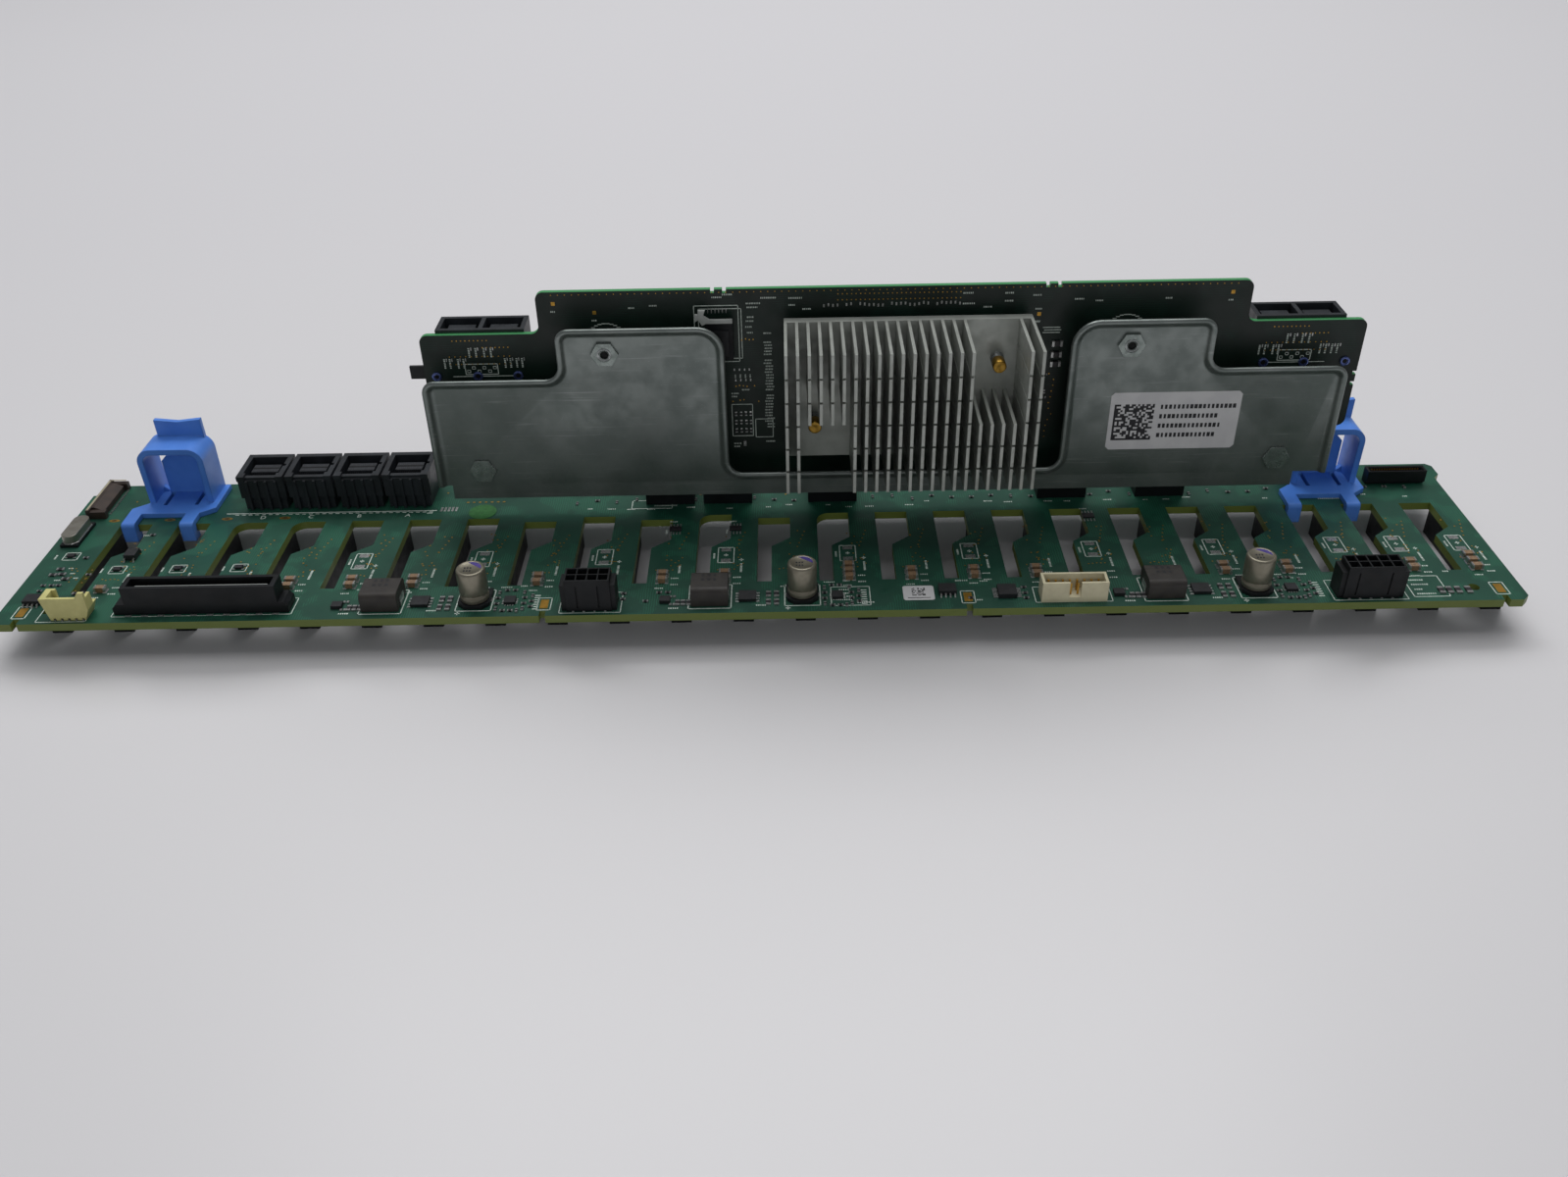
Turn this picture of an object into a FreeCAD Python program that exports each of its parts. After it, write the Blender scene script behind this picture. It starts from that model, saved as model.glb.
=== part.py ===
import FreeCAD, Part
import os

import Sketcher
from FreeCAD import Placement, Rotation, Vector

# A drive backplane board: a long main board with a row of drive receptacles on its underside
# and an upright expander board, its heatsink and its steel bracket on its upper side.
#
# Frame, in millimetres: X runs along the row of bays, Y from the front edge to the rear edge,
# Z up. The origin is under the middle of the main board, at the level on which the drive
# receptacles stand. The drive bays set the length of the board, and every piece takes its place
# along X from the bay it belongs to, and along Y from the nearer edge of the board.

document = FreeCAD.newDocument("drive_backplane")

# Driving dimensions: alias, value in millimetres (or a plain count), meaning.
SIZES = [
    ("fit_gap", 0.3, "clearance between pieces that sit in or over each other"),
    # main board
    ("left_margin", 12.05, "board past the middle of the first bay"),
    ("right_margin", 3.35, "board past the middle of the last bay"),
    ("board_depth", 76.8, "main board along Y"),
    ("board_thickness", 2.4, "main board"),
    ("board_corner", 2.0, "cut at the front corners"),
    ("rear_step_width", 8.0, "step in the rear left corner, along X"),
    ("rear_step_depth", 6.0, "step in the rear left corner, along Y"),
    ("ear_reach", 2.0, "ear that stands past the right edge"),
    ("ear_length", 8.9, "length of that ear along the right edge"),
    ("ear_bevel", 1.6, "corner cut of the ear"),
    ("notch_width", 1.7, "depanelling notches in the front edge"),
    ("notch_depth", 2.3, "depth of those notches"),
    ("notch_inset", 6.5, "outer notches, in from the ends of the board"),
    ("notch_left_shift", -1.75, "left inner notch, from the middle of its bay"),
    ("notch_right_shift", 9.65, "right inner notch, from the middle of its bay"),
    ("hole_radius", 1.55, "locating holes"),
    ("hole_inset", 13.3, "locating holes, in from the ends of the board"),
    ("hole_setback", 6.5, "locating holes, back from the front edge"),
    # bays and the air slots between them
    ("bay_count", 24, "number of drive bays"),
    ("bay_pitch", 18.0, "bay to bay"),
    ("slot_offset", 4.1, "left wall of an air slot, right of the bay's middle"),
    ("slot_front", 15.3, "front end of an air slot, back from the front edge"),
    ("slot_rear", 24.3, "rear end of an air slot, in from the rear edge"),
    ("slot_wide_length", 13.9, "length of the wide rear part"),
    ("slot_rise", 4.6, "length of the slanted wall"),
    ("slot_narrow", 4.2, "width of the front part"),
    ("slot_wide", 9.8, "width of the rear part"),
    ("slot_short", 2.4, "how much sooner the shorter slots end"),
    ("slot_round", 4.0, "large corner radius of some slots"),
    # drive receptacles
    ("receptacle_height", 9.0, "drive receptacle below the board"),
    ("receptacle_width", 5.8, "drive receptacle along X"),
    ("receptacle_length", 42.5, "drive receptacle along Y"),
    ("receptacle_rear", 22.8, "its rear end, in from the rear edge"),
    ("receptacle_wall", 1.0, "its side walls"),
    ("receptacle_end", 3.2, "its solid ends"),
    ("receptacle_mouth", 6.4, "depth of its mouth"),
    ("blade_width", 1.5, "contact blade in the mouth"),
    ("blade_gap", 1.2, "between the blade and the ends of the mouth"),
    ("blade_recess", 1.0, "blade below the rim"),
    # four upright cable ports
    ("port_count", 4, "number of cable ports"),
    ("port_pitch", 15.1, "port to port"),
    ("port_shift", 11.2, "middle of the leftmost port, from the middle of its bay"),
    ("port_width", 14.3, "port along X"),
    ("port_depth", 14.6, "port along Y"),
    ("port_height", 12.0, "port above the board"),
    ("port_rear", 2.3, "rear face of the ports, in from the rear edge"),
    ("port_wall", 1.6, "side walls round the mouth"),
    ("port_front_wall", 2.6, "front wall of the mouth"),
    ("port_rear_wall", 1.8, "rear wall of the mouth"),
    ("port_mouth", 7.6, "depth of the mouth"),
    ("port_tongue_x", 8.4, "tongue in the mouth, along X"),
    ("port_tongue_y", 4.6, "tongue in the mouth, along Y"),
    ("port_tongue_drop", 1.2, "tongue below the rim"),
    ("port_lug", 2.3, "lugs at the corners of the front rim"),
    ("port_rim_drop", 0.8, "front rim between the lugs, below the top"),
    ("port_rim_back", 1.1, "front rim between the lugs, behind their faces"),
    ("port_groove", 1.3, "guide grooves in the side walls, along Y"),
    ("port_foot", 1.2, "how far the upper part stands past the foot"),
    ("port_foot_height", 4.2, "height of the foot"),
    ("port_ribs", 4, "ribs on the front face"),
    ("port_rib_width", 0.8, "rib"),
    ("port_rib_pitch", 3.0, "rib to rib"),
    ("port_rib_top", 10.2, "ribs above the board"),
    # upright expander board
    ("expander_front", 17.8, "front face of the expander board, in from the rear edge"),
    ("expander_thickness", 1.6, "expander board"),
    ("expander_left_shift", -3.15, "left edge, from the middle of its bay"),
    ("expander_right_shift", 15.05, "right edge, from the left leg of the right clip"),
    ("expander_step_left", 35.2, "left shoulder, along X"),
    ("expander_step_right", 35.0, "right shoulder, along X"),
    ("expander_top", 71.0, "top edge above the main board"),
    ("expander_shoulder", 58.4, "shoulders above the main board"),
    ("expander_bottom", 9.4, "lower edge above the main board"),
    ("expander_recess", 15.8, "cut-out over the right clip, along X"),
    ("expander_recess_top", 24.0, "top of that cut-out above the main board"),
    ("expander_corner", 2.4, "corner radius"),
    ("tab_notch_width", 1.1, "depanelling notches"),
    ("tab_notch_depth", 1.1, "depth of those notches"),
    ("tab_span", 3.4, "between the two notches of a tab"),
    ("tab_left_shift", -5.55, "left tab on the top edge, from the middle of its bay"),
    ("tab_right_shift", 0.25, "right tab on the top edge, from the middle of its bay"),
    ("tab_side", 39.8, "tab on the right edge, above the main board"),
    # ports on the rear face of the expander board
    ("rear_port_inset", 17.6, "middle of the left double port, in from the left edge"),
    ("rear_port_inset_right", 18.9, "middle of the right double port, in from the right edge"),
    ("rear_port_width", 26.0, "double port along X"),
    ("rear_port_depth", 10.0, "double port along Y"),
    ("rear_port_height", 20.0, "double port along Z"),
    ("rear_port_rise", 0.9, "double port above the shoulder"),
    ("rear_port_wall", 1.3, "its walls"),
    ("rear_port_mouth", 7.0, "depth of its mouths"),
    ("rear_port_tongue", 3.6, "tongue in each mouth, along Y"),
    ("rear_port_tongue_gap", 1.5, "beside that tongue"),
    # controller and heatsink
    ("chip_side", 35.0, "controller package"),
    ("chip_thickness", 3.4, "controller package with its thermal pad"),
    ("sink_shift", -4.95, "left side of the heatsink, from the middle of its bay"),
    ("sink_width", 71.0, "heatsink along X"),
    ("sink_bottom", 20.3, "heatsink above the main board"),
    ("sink_height", 43.0, "heatsink along Z"),
    ("sink_base", 3.0, "base plate"),
    ("fin_reach", 22.6, "fins in front of the base plate"),
    ("fin_count", 23, "number of fins"),
    ("fin_thickness", 0.9, "fin"),
    ("saw_rows", 6, "rows into which cross cuts divide the fins"),
    ("saw_width", 0.6, "cross cut"),
    ("relief_rows", 3, "rows taken out round each push pin"),
    ("relief_fins", 4, "fins taken out round each push pin"),
    ("relief_low_first", 3, "first fin of the lower relief"),
    ("relief_high_first", 18, "first fin of the upper relief"),
    # steel bracket
    ("bracket_front", 27.8, "rim of the bracket, in from the rear edge"),
    ("sheet", 1.0, "sheet thickness"),
    ("rim_step", 1.5, "how far the rim stands in front of the panel"),
    ("rim_width", 2.4, "rim"),
    ("rim_end", 13.2, "lower end of the rim above the main board"),
    ("bracket_left_inset", 0.8, "left side, in from the expander board's"),
    ("bracket_right_inset", 6.4, "right side, in from the expander board's"),
    ("bracket_bottom", 8.6, "lower edge above the main board"),
    ("bracket_notch_left", 4.0, "notch in the lower left corner, along X"),
    ("bracket_notch_right", 9.6, "notch in the lower right corner, over a clip"),
    ("bracket_low_left", 40.2, "left shoulder, along X"),
    ("bracket_low_right", 40.0, "right shoulder, along X"),
    ("bracket_gap_left", 17.0, "middle cut-out past the heatsink, left"),
    ("bracket_gap_right", 10.8, "middle cut-out past the heatsink, right"),
    ("bracket_tower", 63.6, "towers above the main board"),
    ("bracket_shoulder", 48.2, "shoulders above the main board"),
    ("bracket_bar", 16.4, "bar under the cut-out, its upper edge"),
    ("bracket_corner", 4.0, "corner radius"),
    ("bracket_cut_corner", 8.0, "radius of the tower corners at the cut-out"),
    # standoffs that carry the bracket on the expander board
    ("standoff_flats", 7.0, "head across flats"),
    ("standoff_head", 0.8, "head in front of the panel"),
    ("standoff_barrel", 5.5, "barrel across flats"),
    ("standoff_bore", 1.25, "threaded bore of the upper two"),
    ("standoff_bore_depth", 5.5, "depth of that bore"),
    ("standoff_high_left", 13.8, "upper left standoff, from the tower's left side"),
    ("standoff_high_right", 23.6, "upper right standoff, from the tower's right side"),
    ("standoff_high", 55.5, "upper standoffs above the main board"),
    ("standoff_low_left", 14.1, "lower left standoff, from the bracket's left side"),
    ("standoff_low_right", 15.8, "lower right standoff, from the bracket's right side"),
    ("standoff_low", 18.3, "lower standoffs above the main board"),
    # cable clips; places along Y run back from the rear end of the air slots
    ("clip_plate", 1.6, "plate of a clip"),
    ("clip_wall", 1.8, "wall of its loop"),
    ("clip_shift", 1.1, "clip's left leg from the slot's left wall"),
    ("clip_leg_width", 4.2, "leg along X"),
    ("clip_leg_depth", 2.4, "leg along Y"),
    ("clip_leg_round", 1.3, "outer bend at the top of a leg"),
    ("clip_barb", 1.2, "barb behind the board"),
    ("clip_hook", 2.2, "leg and barb below the board"),
    ("clip_reach", 26.4, "plate past its left leg"),
    ("clip_plate_front", 3.8, "front edge of the plate between the legs"),
    ("clip_wing", 7.0, "rear end of the slanted side edges"),
    ("clip_plate_rear", 21.4, "rear edge of the plate"),
    ("clip_loop_front", 10.3, "front of the loop"),
    ("clip_loop_width", 20.6, "loop along X, at its shoulders"),
    ("clip_loop_height", 20.4, "loop above the board"),
    ("clip_loop_offset", 4.3, "loop's left side from the left leg"),
    ("clip_loop_lean", 0.3, "how far the loop's feet stand inside its shoulders"),
    ("clip_loop_round", 4.6, "outer radius of the loop's shoulders"),
    ("clip_tab_width", 14.5, "finger tab along X"),
    ("clip_tab_height", 5.5, "finger tab above the loop"),
    ("clip_tab_shift", 1.1, "middle of the tab, right of the loop's middle"),
    ("clip_tab_dip", 0.8, "dip in the middle of its upper edge"),
    ("clip_tab_sheet", 1.6, "finger tab"),
    ("clip_slit", 1.2, "slits beside the tongue"),
    ("clip_slit_length", 8.0, "length of the slits"),
    ("clip_slit_front", 9.0, "front end of the slits"),
    ("clip_slit_spacing", 8.6, "between the slits"),
    ("clip_tongue_width", 12.4, "tongue behind the slits"),
    ("clip_tongue_height", 14.6, "tongue above the board"),
    ("clip_tongue_back", 2.2, "tongue in front of the loop's rear side"),
    ("clip_gusset", 1.8, "gussets beside the slits"),
    # long slot connector
    ("slot_body_shift", 7.05, "left side of its upper part, from the middle of its bay"),
    ("slot_body_width", 43.1, "upper part along X"),
    ("slot_foot_left", 3.6, "foot past the upper part, left"),
    ("slot_foot_right", 2.6, "foot past the upper part, right"),
    ("slot_foot_height", 3.4, "foot above the board"),
    ("slot_foot_bevel", 1.2, "slanted ends of the foot"),
    ("slot_body_front", 3.8, "front face"),
    ("slot_body_depth", 6.2, "along Y"),
    ("slot_body_height", 8.8, "above the board"),
    ("slot_channel", 3.8, "channel along Y"),
    ("slot_channel_depth", 6.0, "channel depth"),
    ("slot_wall", 1.4, "end walls of the channel"),
    ("slot_tongue", 1.2, "tongue in the channel"),
    # cream signal header
    ("signal_shift", 3.05, "left side, from the middle of its bay"),
    ("signal_width", 12.9, "along X, at the rim"),
    ("signal_front", 1.6, "front face"),
    ("signal_depth", 5.4, "along Y"),
    ("signal_height", 7.2, "above the board"),
    ("signal_peak", 1.8, "raised right end of the front wall"),
    ("signal_peak_width", 1.6, "upper edge of that end"),
    ("signal_lean", 1.5, "how far the side walls lean out"),
    ("signal_elbow", 3.4, "height at which the right wall turns upright"),
    ("signal_wall", 0.9, "walls"),
    ("signal_pins", 5, "leads under the front edge"),
    ("signal_lead_pitch", 2.0, "lead to lead"),
    ("signal_lead", 0.7, "notch for a lead"),
    # power headers: two rows of square cells
    ("cell_pitch", 3.0, "cell to cell"),
    ("cell_size", 2.6, "cell opening"),
    ("cell_depth", 5.0, "cell depth"),
    ("cell_wall", 0.5, "walls round the cells"),
    ("power_height", 10.3, "above the board"),
    ("power_wing", 1.4, "wings at both ends, along X"),
    ("power_wing_back", 0.5, "front of the wings behind the front face"),
    ("power_wing_height", 8.4, "wings above the board"),
    ("power_groove", 0.4, "upright grooves in the front face, width and depth"),
    ("power_groove_foot", 1.2, "lower end of the grooves"),
    ("power_a_shift", 3.65, "left side of the eight-way header, from the middle of its bay"),
    ("power_a_ways", 4, "cells in a row of the eight-way header"),
    ("power_b_shift", 4.15, "left side of the ten-way header, from the middle of its bay"),
    ("power_b_ways", 5, "cells in a row of the ten-way header"),
    ("power_front", 1.75, "front face"),
    ("latch_width", 5.0, "latch ramp on the rear face"),
    ("latch_reach", 0.9, "latch ramp past the rear face"),
    # shrouded box header
    ("shroud_shift", -6.25, "left side, from the middle of its bay"),
    ("shroud_width", 18.4, "along X"),
    ("shroud_front", 2.4, "front face"),
    ("shroud_depth", 5.6, "along Y"),
    ("shroud_height", 6.3, "above the board"),
    ("shroud_wall", 0.8, "walls"),
    ("shroud_floor", 1.6, "floor"),
    ("shroud_key", 3.2, "key notch in the front wall"),
    ("shroud_pins", 8, "pins in a row"),
    ("shroud_pitch", 2.0, "pin to pin"),
    ("shroud_pin", 0.5, "pin"),
    ("shroud_pin_top", 5.0, "pin tips above the board"),
    # three identical power regulators
    ("regulator_a", -3.55, "capacitor of the first regulator, from the middle of its bay"),
    ("regulator_b", -0.95, "capacitor of the second regulator"),
    ("regulator_c", 0.95, "capacitor of the third regulator"),
    ("inductor_offset", -26.1, "inductor from the capacitor"),
    ("inductor_width", 10.5, "inductor along X"),
    ("inductor_depth", 9.8, "inductor along Y"),
    ("inductor_height", 5.6, "inductor above the board"),
    ("inductor_front", 3.2, "front face of the inductor"),
    ("inductor_round", 1.6, "rounded front edge"),
    ("can_radius", 4.1, "capacitor can"),
    ("can_height", 10.0, "can above its base"),
    ("can_bevel", 0.4, "rounded upper edge"),
    ("can_middle", 8.0, "middle of the capacitor"),
    ("can_base", 9.0, "square base"),
    ("can_base_height", 1.2, "base"),
    ("can_base_cut", 2.0, "cut corners of the base"),
    # chip capacitors
    ("ceramic_length", 3.2, "chip capacitor along X"),
    ("ceramic_width", 1.8, "chip capacitor along Y"),
    ("ceramic_height", 1.6, "chip capacitor"),
    ("ceramic_pitch", 3.1, "between chip capacitors of a stack"),
    ("ceramic_offset", 12.7, "stack from the bay's middle"),
    ("ceramic_front", 16.0, "front chip capacitor of a stack"),
    # board-to-board links
    ("link_width", 15.2, "link connector along X"),
    ("link_depth", 11.6, "along Y"),
    ("link_height", 9.0, "header above the board"),
    ("link_wall", 1.0, "header walls"),
    ("link_floor", 1.4, "header floor"),
    ("link_socket_top", 18.0, "socket above the board"),
    # small connectors at the rear corners, crystal, memory socket
    ("ribbon_inset", 4.0, "ribbon connector, in from the left end of the board"),
    ("ribbon_width", 5.0, "along X"),
    ("ribbon_rear", 0.9, "rear end, in from the rear edge"),
    ("ribbon_length", 19.6, "along Y"),
    ("ribbon_height", 3.0, "above the board"),
    ("ribbon_spine", 1.2, "upper edge of the housing"),
    ("ribbon_lip", 1.0, "housing at its low side"),
    ("ribbon_lug", 1.8, "lugs at both ends"),
    ("ribbon_lug_height", 2.4, "lugs above the board"),
    ("ribbon_flap", 0.8, "dark flap over the slope"),
    ("sideband_inset", 23.3, "sideband connector, left side, in from the right end of the board"),
    ("sideband_width", 18.3, "along X"),
    ("sideband_rear", 9.3, "rear face, in from the rear edge"),
    ("sideband_depth", 3.7, "head along Y"),
    ("sideband_height", 4.8, "above the board"),
    ("sideband_foot", 0.9, "how far the head stands past its foot"),
    ("sideband_foot_height", 0.9, "foot"),
    ("sideband_slot", 1.6, "slot along Y"),
    ("sideband_wall", 1.2, "walls round the slot"),
    ("sideband_slot_depth", 2.6, "slot"),
    ("crystal_inset", 3.1, "crystal, in from the left end of the board"),
    ("crystal_width", 4.6, "along X"),
    ("crystal_rear", 24.1, "rear end, in from the rear edge"),
    ("crystal_length", 12.6, "along Y"),
    ("crystal_height", 3.6, "above the board"),
    ("crystal_base", 0.9, "insulating base"),
    ("crystal_base_margin", 0.4, "base past the can, along X"),
    ("memory_shift", -9.35, "memory socket, left side, from the middle of its bay"),
    ("memory_width", 7.7, "along X"),
    ("memory_bottom", 50.6, "above the main board"),
    ("memory_height", 11.6, "along Z"),
    ("memory_depth", 3.2, "in front of the expander board"),
    ("memory_latch", 0.8, "latch in front of the socket"),
    ("memory_bar", 1.2, "bar of the latch along the socket's upper edge"),
    ("memory_arm", 4.0, "arms of the latch, past the socket's corner"),
]

ALIASES = [alias for alias, _, _ in SIZES]

sheet = document.addObject("Spreadsheet::Sheet", "Sizes")
for row, (alias, value, meaning) in enumerate(SIZES, start=1):
    sheet.set(f"A{row}", meaning)
    sheet.set(f"B{row}", str(value))
    sheet.setAlias(f"B{row}", alias)
document.recompute()


class Size:
    """A value of the sheet, or arithmetic on such values: its expression and its number."""

    def __init__(self, text, number):
        self.text = text
        self.number = number

    def __float__(self):
        return float(self.number)

    def __neg__(self):
        return Size(f"(0 - {self.text})", -self.number)

    def __add__(self, other):
        other = size_of(other)
        return Size(f"({self.text} + {other.text})", self.number + other.number)

    def __sub__(self, other):
        other = size_of(other)
        return Size(f"({self.text} - {other.text})", self.number - other.number)

    def __mul__(self, other):
        other = size_of(other)
        return Size(f"({self.text} * {other.text})", self.number * other.number)

    def __truediv__(self, other):
        other = size_of(other)
        return Size(f"({self.text} / {other.text})", self.number / other.number)

    def __radd__(self, other):
        return size_of(other) + self

    def __rsub__(self, other):
        return size_of(other) - self

    def __rmul__(self, other):
        return size_of(other) * self


def size_of(value):
    """A Size for a plain number, or the Size itself."""
    if isinstance(value, Size):
        return value
    return Size(f"({float(value)!r})", float(value))


class Sheet:
    """The sheet's cells by their aliases."""


S = Sheet()
for alias in ALIASES:
    setattr(S, alias, Size(f"Sizes.{alias}", float(sheet.get(alias))))

LENGTH = S.left_margin + S.bay_pitch * (S.bay_count - 1) + S.right_margin
LEFT = -LENGTH / 2
RIGHT = LEFT + LENGTH
FRONT = -S.board_depth / 2
REAR = FRONT + S.board_depth
SLOT_END = REAR - S.slot_rear
DECK = S.receptacle_height + S.board_thickness
OVERRUN = 1.0                      # how far a cutting tool runs past the face it enters by


def bind(item, prop, value):
    """Tie a property of an object to the sheet."""
    item.setExpression(prop, size_of(value).text)


def place(item, x=0.0, y=0.0, z=0.0):
    """Tie an object's position to the sheet."""
    for axis, value in zip("xyz", (x, y, z)):
        bind(item, f"Placement.Base.{axis}", value)


NODES = []


def keep(item, node):
    """Name an object as a sub-part that is written to its own file."""
    item.Label = node
    NODES.append(item)
    return item


# ---- Part primitives and booleans ----------------------------------------------------------

def block(name, x, y, z, along_x, along_y, along_z):
    """A box given by its lowest corner and its three sizes."""
    box = document.addObject("Part::Box", name)
    bind(box, "Length", along_x)
    bind(box, "Width", along_y)
    bind(box, "Height", along_z)
    place(box, x, y, z)
    return box


def rod(name, x, y, z, radius, length, turn=None):
    """A cylinder that starts at a point; turn is a rotation away from the Z axis."""
    cylinder = document.addObject("Part::Cylinder", name)
    if turn is not None:
        cylinder.Placement = Placement(Vector(), turn)
    bind(cylinder, "Radius", radius)
    bind(cylinder, "Height", length)
    place(cylinder, x, y, z)
    return cylinder


def cut(name, base, tools):
    """Base with every tool taken away."""
    tool = tools[0] if len(tools) == 1 else fuse(f"{name}_tools", tools)
    item = document.addObject("Part::Cut", name)
    item.Base = base
    item.Tool = tool
    return item


def fuse(name, pieces):
    """Pieces joined into one solid."""
    item = document.addObject("Part::MultiFuse", name)
    item.Shapes = pieces
    item.Refine = True
    return item


def group(name, pieces):
    """Separate solids that share one node."""
    item = document.addObject("Part::Compound", name)
    item.Links = pieces
    return item


ALONG_PLUS_Y = Rotation(Vector(1, 0, 0), -90)


# ---- PartDesign bodies ---------------------------------------------------------------------

def new_body(name, x=0.0, y=0.0, z=0.0):
    """An empty body whose origin is tied to the sheet."""
    body = document.addObject("PartDesign::Body", name)
    place(body, x, y, z)
    return body


def origin_feature(body, role):
    """A plane or axis of the body's own origin."""
    return next(item for item in body.Origin.OriginFeatures if item.Role == role)


def draw(sketch, corners):
    """A closed outline of straight lines with every corner tied to the sheet."""
    first = sketch.GeometryCount
    corners = [(size_of(x), size_of(y)) for x, y in corners]
    points = [Vector(float(x), float(y), 0) for x, y in corners]
    count = len(points)
    sketch.addGeometry([Part.LineSegment(points[i], points[(i + 1) % count]) for i in range(count)])
    for i in range(count):
        sketch.addConstraint(Sketcher.Constraint("Coincident", first + i, 2, first + (i + 1) % count, 1))
    for i, pair in enumerate(corners):
        for kind, value in zip(("DistanceX", "DistanceY"), pair):
            index = sketch.addConstraint(Sketcher.Constraint(kind, -1, 1, first + i, 1, float(value)))
            label = f"{kind[-1].lower()}_{first + i}"
            sketch.renameConstraint(index, label)
            sketch.setExpression(f"Constraints.{label}", value.text)


def draw_circle(sketch, x, y, radius):
    """A circle tied to the sheet."""
    index = sketch.addGeometry(Part.Circle(Vector(float(x), float(y), 0), Vector(0, 0, 1), float(radius)))
    for kind, value in (("DistanceX", x), ("DistanceY", y)):
        spot = sketch.addConstraint(Sketcher.Constraint(kind, -1, 1, index, 3, float(value)))
        sketch.renameConstraint(spot, f"centre_{kind[-1].lower()}_{index}")
        sketch.setExpression(f"Constraints.centre_{kind[-1].lower()}_{index}", size_of(value).text)
    spot = sketch.addConstraint(Sketcher.Constraint("Radius", index, float(radius)))
    sketch.renameConstraint(spot, f"radius_{index}")
    sketch.setExpression(f"Constraints.radius_{index}", size_of(radius).text)


def new_sketch(body, name, role="XY_Plane", level=0.0, outlines=(), circles=()):
    """A sketch on one of the body's planes, moved along X, Y or Z to a level.

    On the XZ plane the sketch's own normal points along -Y.
    """
    sketch = body.newObject("Sketcher::SketchObject", name)
    sketch.AttachmentSupport = [(origin_feature(body, role), "")]
    sketch.MapMode = "FlatFace"
    shift = -size_of(level) if role == "XZ_Plane" else size_of(level)
    bind(sketch, "AttachmentOffset.Base.z", shift)
    for corners in outlines:
        draw(sketch, corners)
    for x, y, radius in circles:
        draw_circle(sketch, x, y, radius)
    return sketch


def pad(body, sketch, length):
    """Material from the sketch towards +X, +Y or +Z."""
    feature = body.newObject("PartDesign::Pad", f"{sketch.Name}_pad")
    feature.Profile = sketch
    bind(feature, "Length", length)
    feature.Reversed = sketch.AttachmentSupport[0][0].Role == "XZ_Plane"
    sketch.Visibility = False
    document.recompute()
    return feature


def pocket(body, sketch, length):
    """A cut from the sketch towards +X, +Y or +Z; it has to remove material."""
    before = body.Shape.Volume
    feature = body.newObject("PartDesign::Pocket", f"{sketch.Name}_pocket")
    feature.Profile = sketch
    bind(feature, "Length", length)
    feature.Reversed = sketch.AttachmentSupport[0][0].Role != "XZ_Plane"
    sketch.Visibility = False
    document.recompute()
    if not body.Shape.Volume < before:
        raise RuntimeError(f"{feature.Name} cuts nothing")
    return feature


def repeat(body, feature, axis, length, count):
    """Equal copies of a feature along an axis of the body."""
    pattern = body.newObject("PartDesign::LinearPattern", f"{feature.Name}_row")
    pattern.Originals = [feature]
    pattern.Direction = (origin_feature(body, axis), [""])
    bind(pattern, "Length", length)
    bind(pattern, "Occurrences", count)
    body.Tip = pattern
    document.recompute()
    return pattern


def edges_along(shape, axis, places):
    """Names of the edges that run along an axis through the given places across it."""
    across = [i for i in range(3) if i != axis]
    names = []
    for index, edge in enumerate(shape.Edges, start=1):
        if len(edge.Vertexes) != 2:
            continue
        start, end = edge.Vertexes[0].Point, edge.Vertexes[1].Point
        if any(abs(start[i] - end[i]) > 1e-6 for i in across):
            continue
        if any(all(abs(start[i] - float(spot[k])) < 1e-4 for k, i in enumerate(across)) for spot in places):
            names.append(f"Edge{index}")
    return names


def fillet(body, axis, places, radius):
    """Round the edges that run along an axis through the given places."""
    base = body.Tip
    names = edges_along(base.Shape, axis, places)
    feature = body.newObject("PartDesign::Fillet", f"{base.Name}_round")
    feature.Base = (base, names)
    bind(feature, "Radius", radius)
    document.recompute()
    return feature


def box_corners(x0, y0, x1, y1):
    """The corners of an upright rectangle."""
    return [(x0, y0), (x1, y0), (x1, y1), (x0, y1)]


# ---- main board ----------------------------------------------------------------------------

def bay_middle(bay):
    """Middle of a bay, counted from 1 at the left."""
    return LEFT + S.left_margin + (size_of(bay) - 1) * S.bay_pitch


def slot_left(slot):
    """Left wall of an air slot, counted from 1 at the left."""
    return bay_middle(slot) + S.slot_offset


SHORT_SLOTS = (8, 10, 12)                    # these end sooner at the rear
ROUND_LEFT_SLOTS = (3, 4, 11, 13)            # these have a large rear left corner


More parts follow.
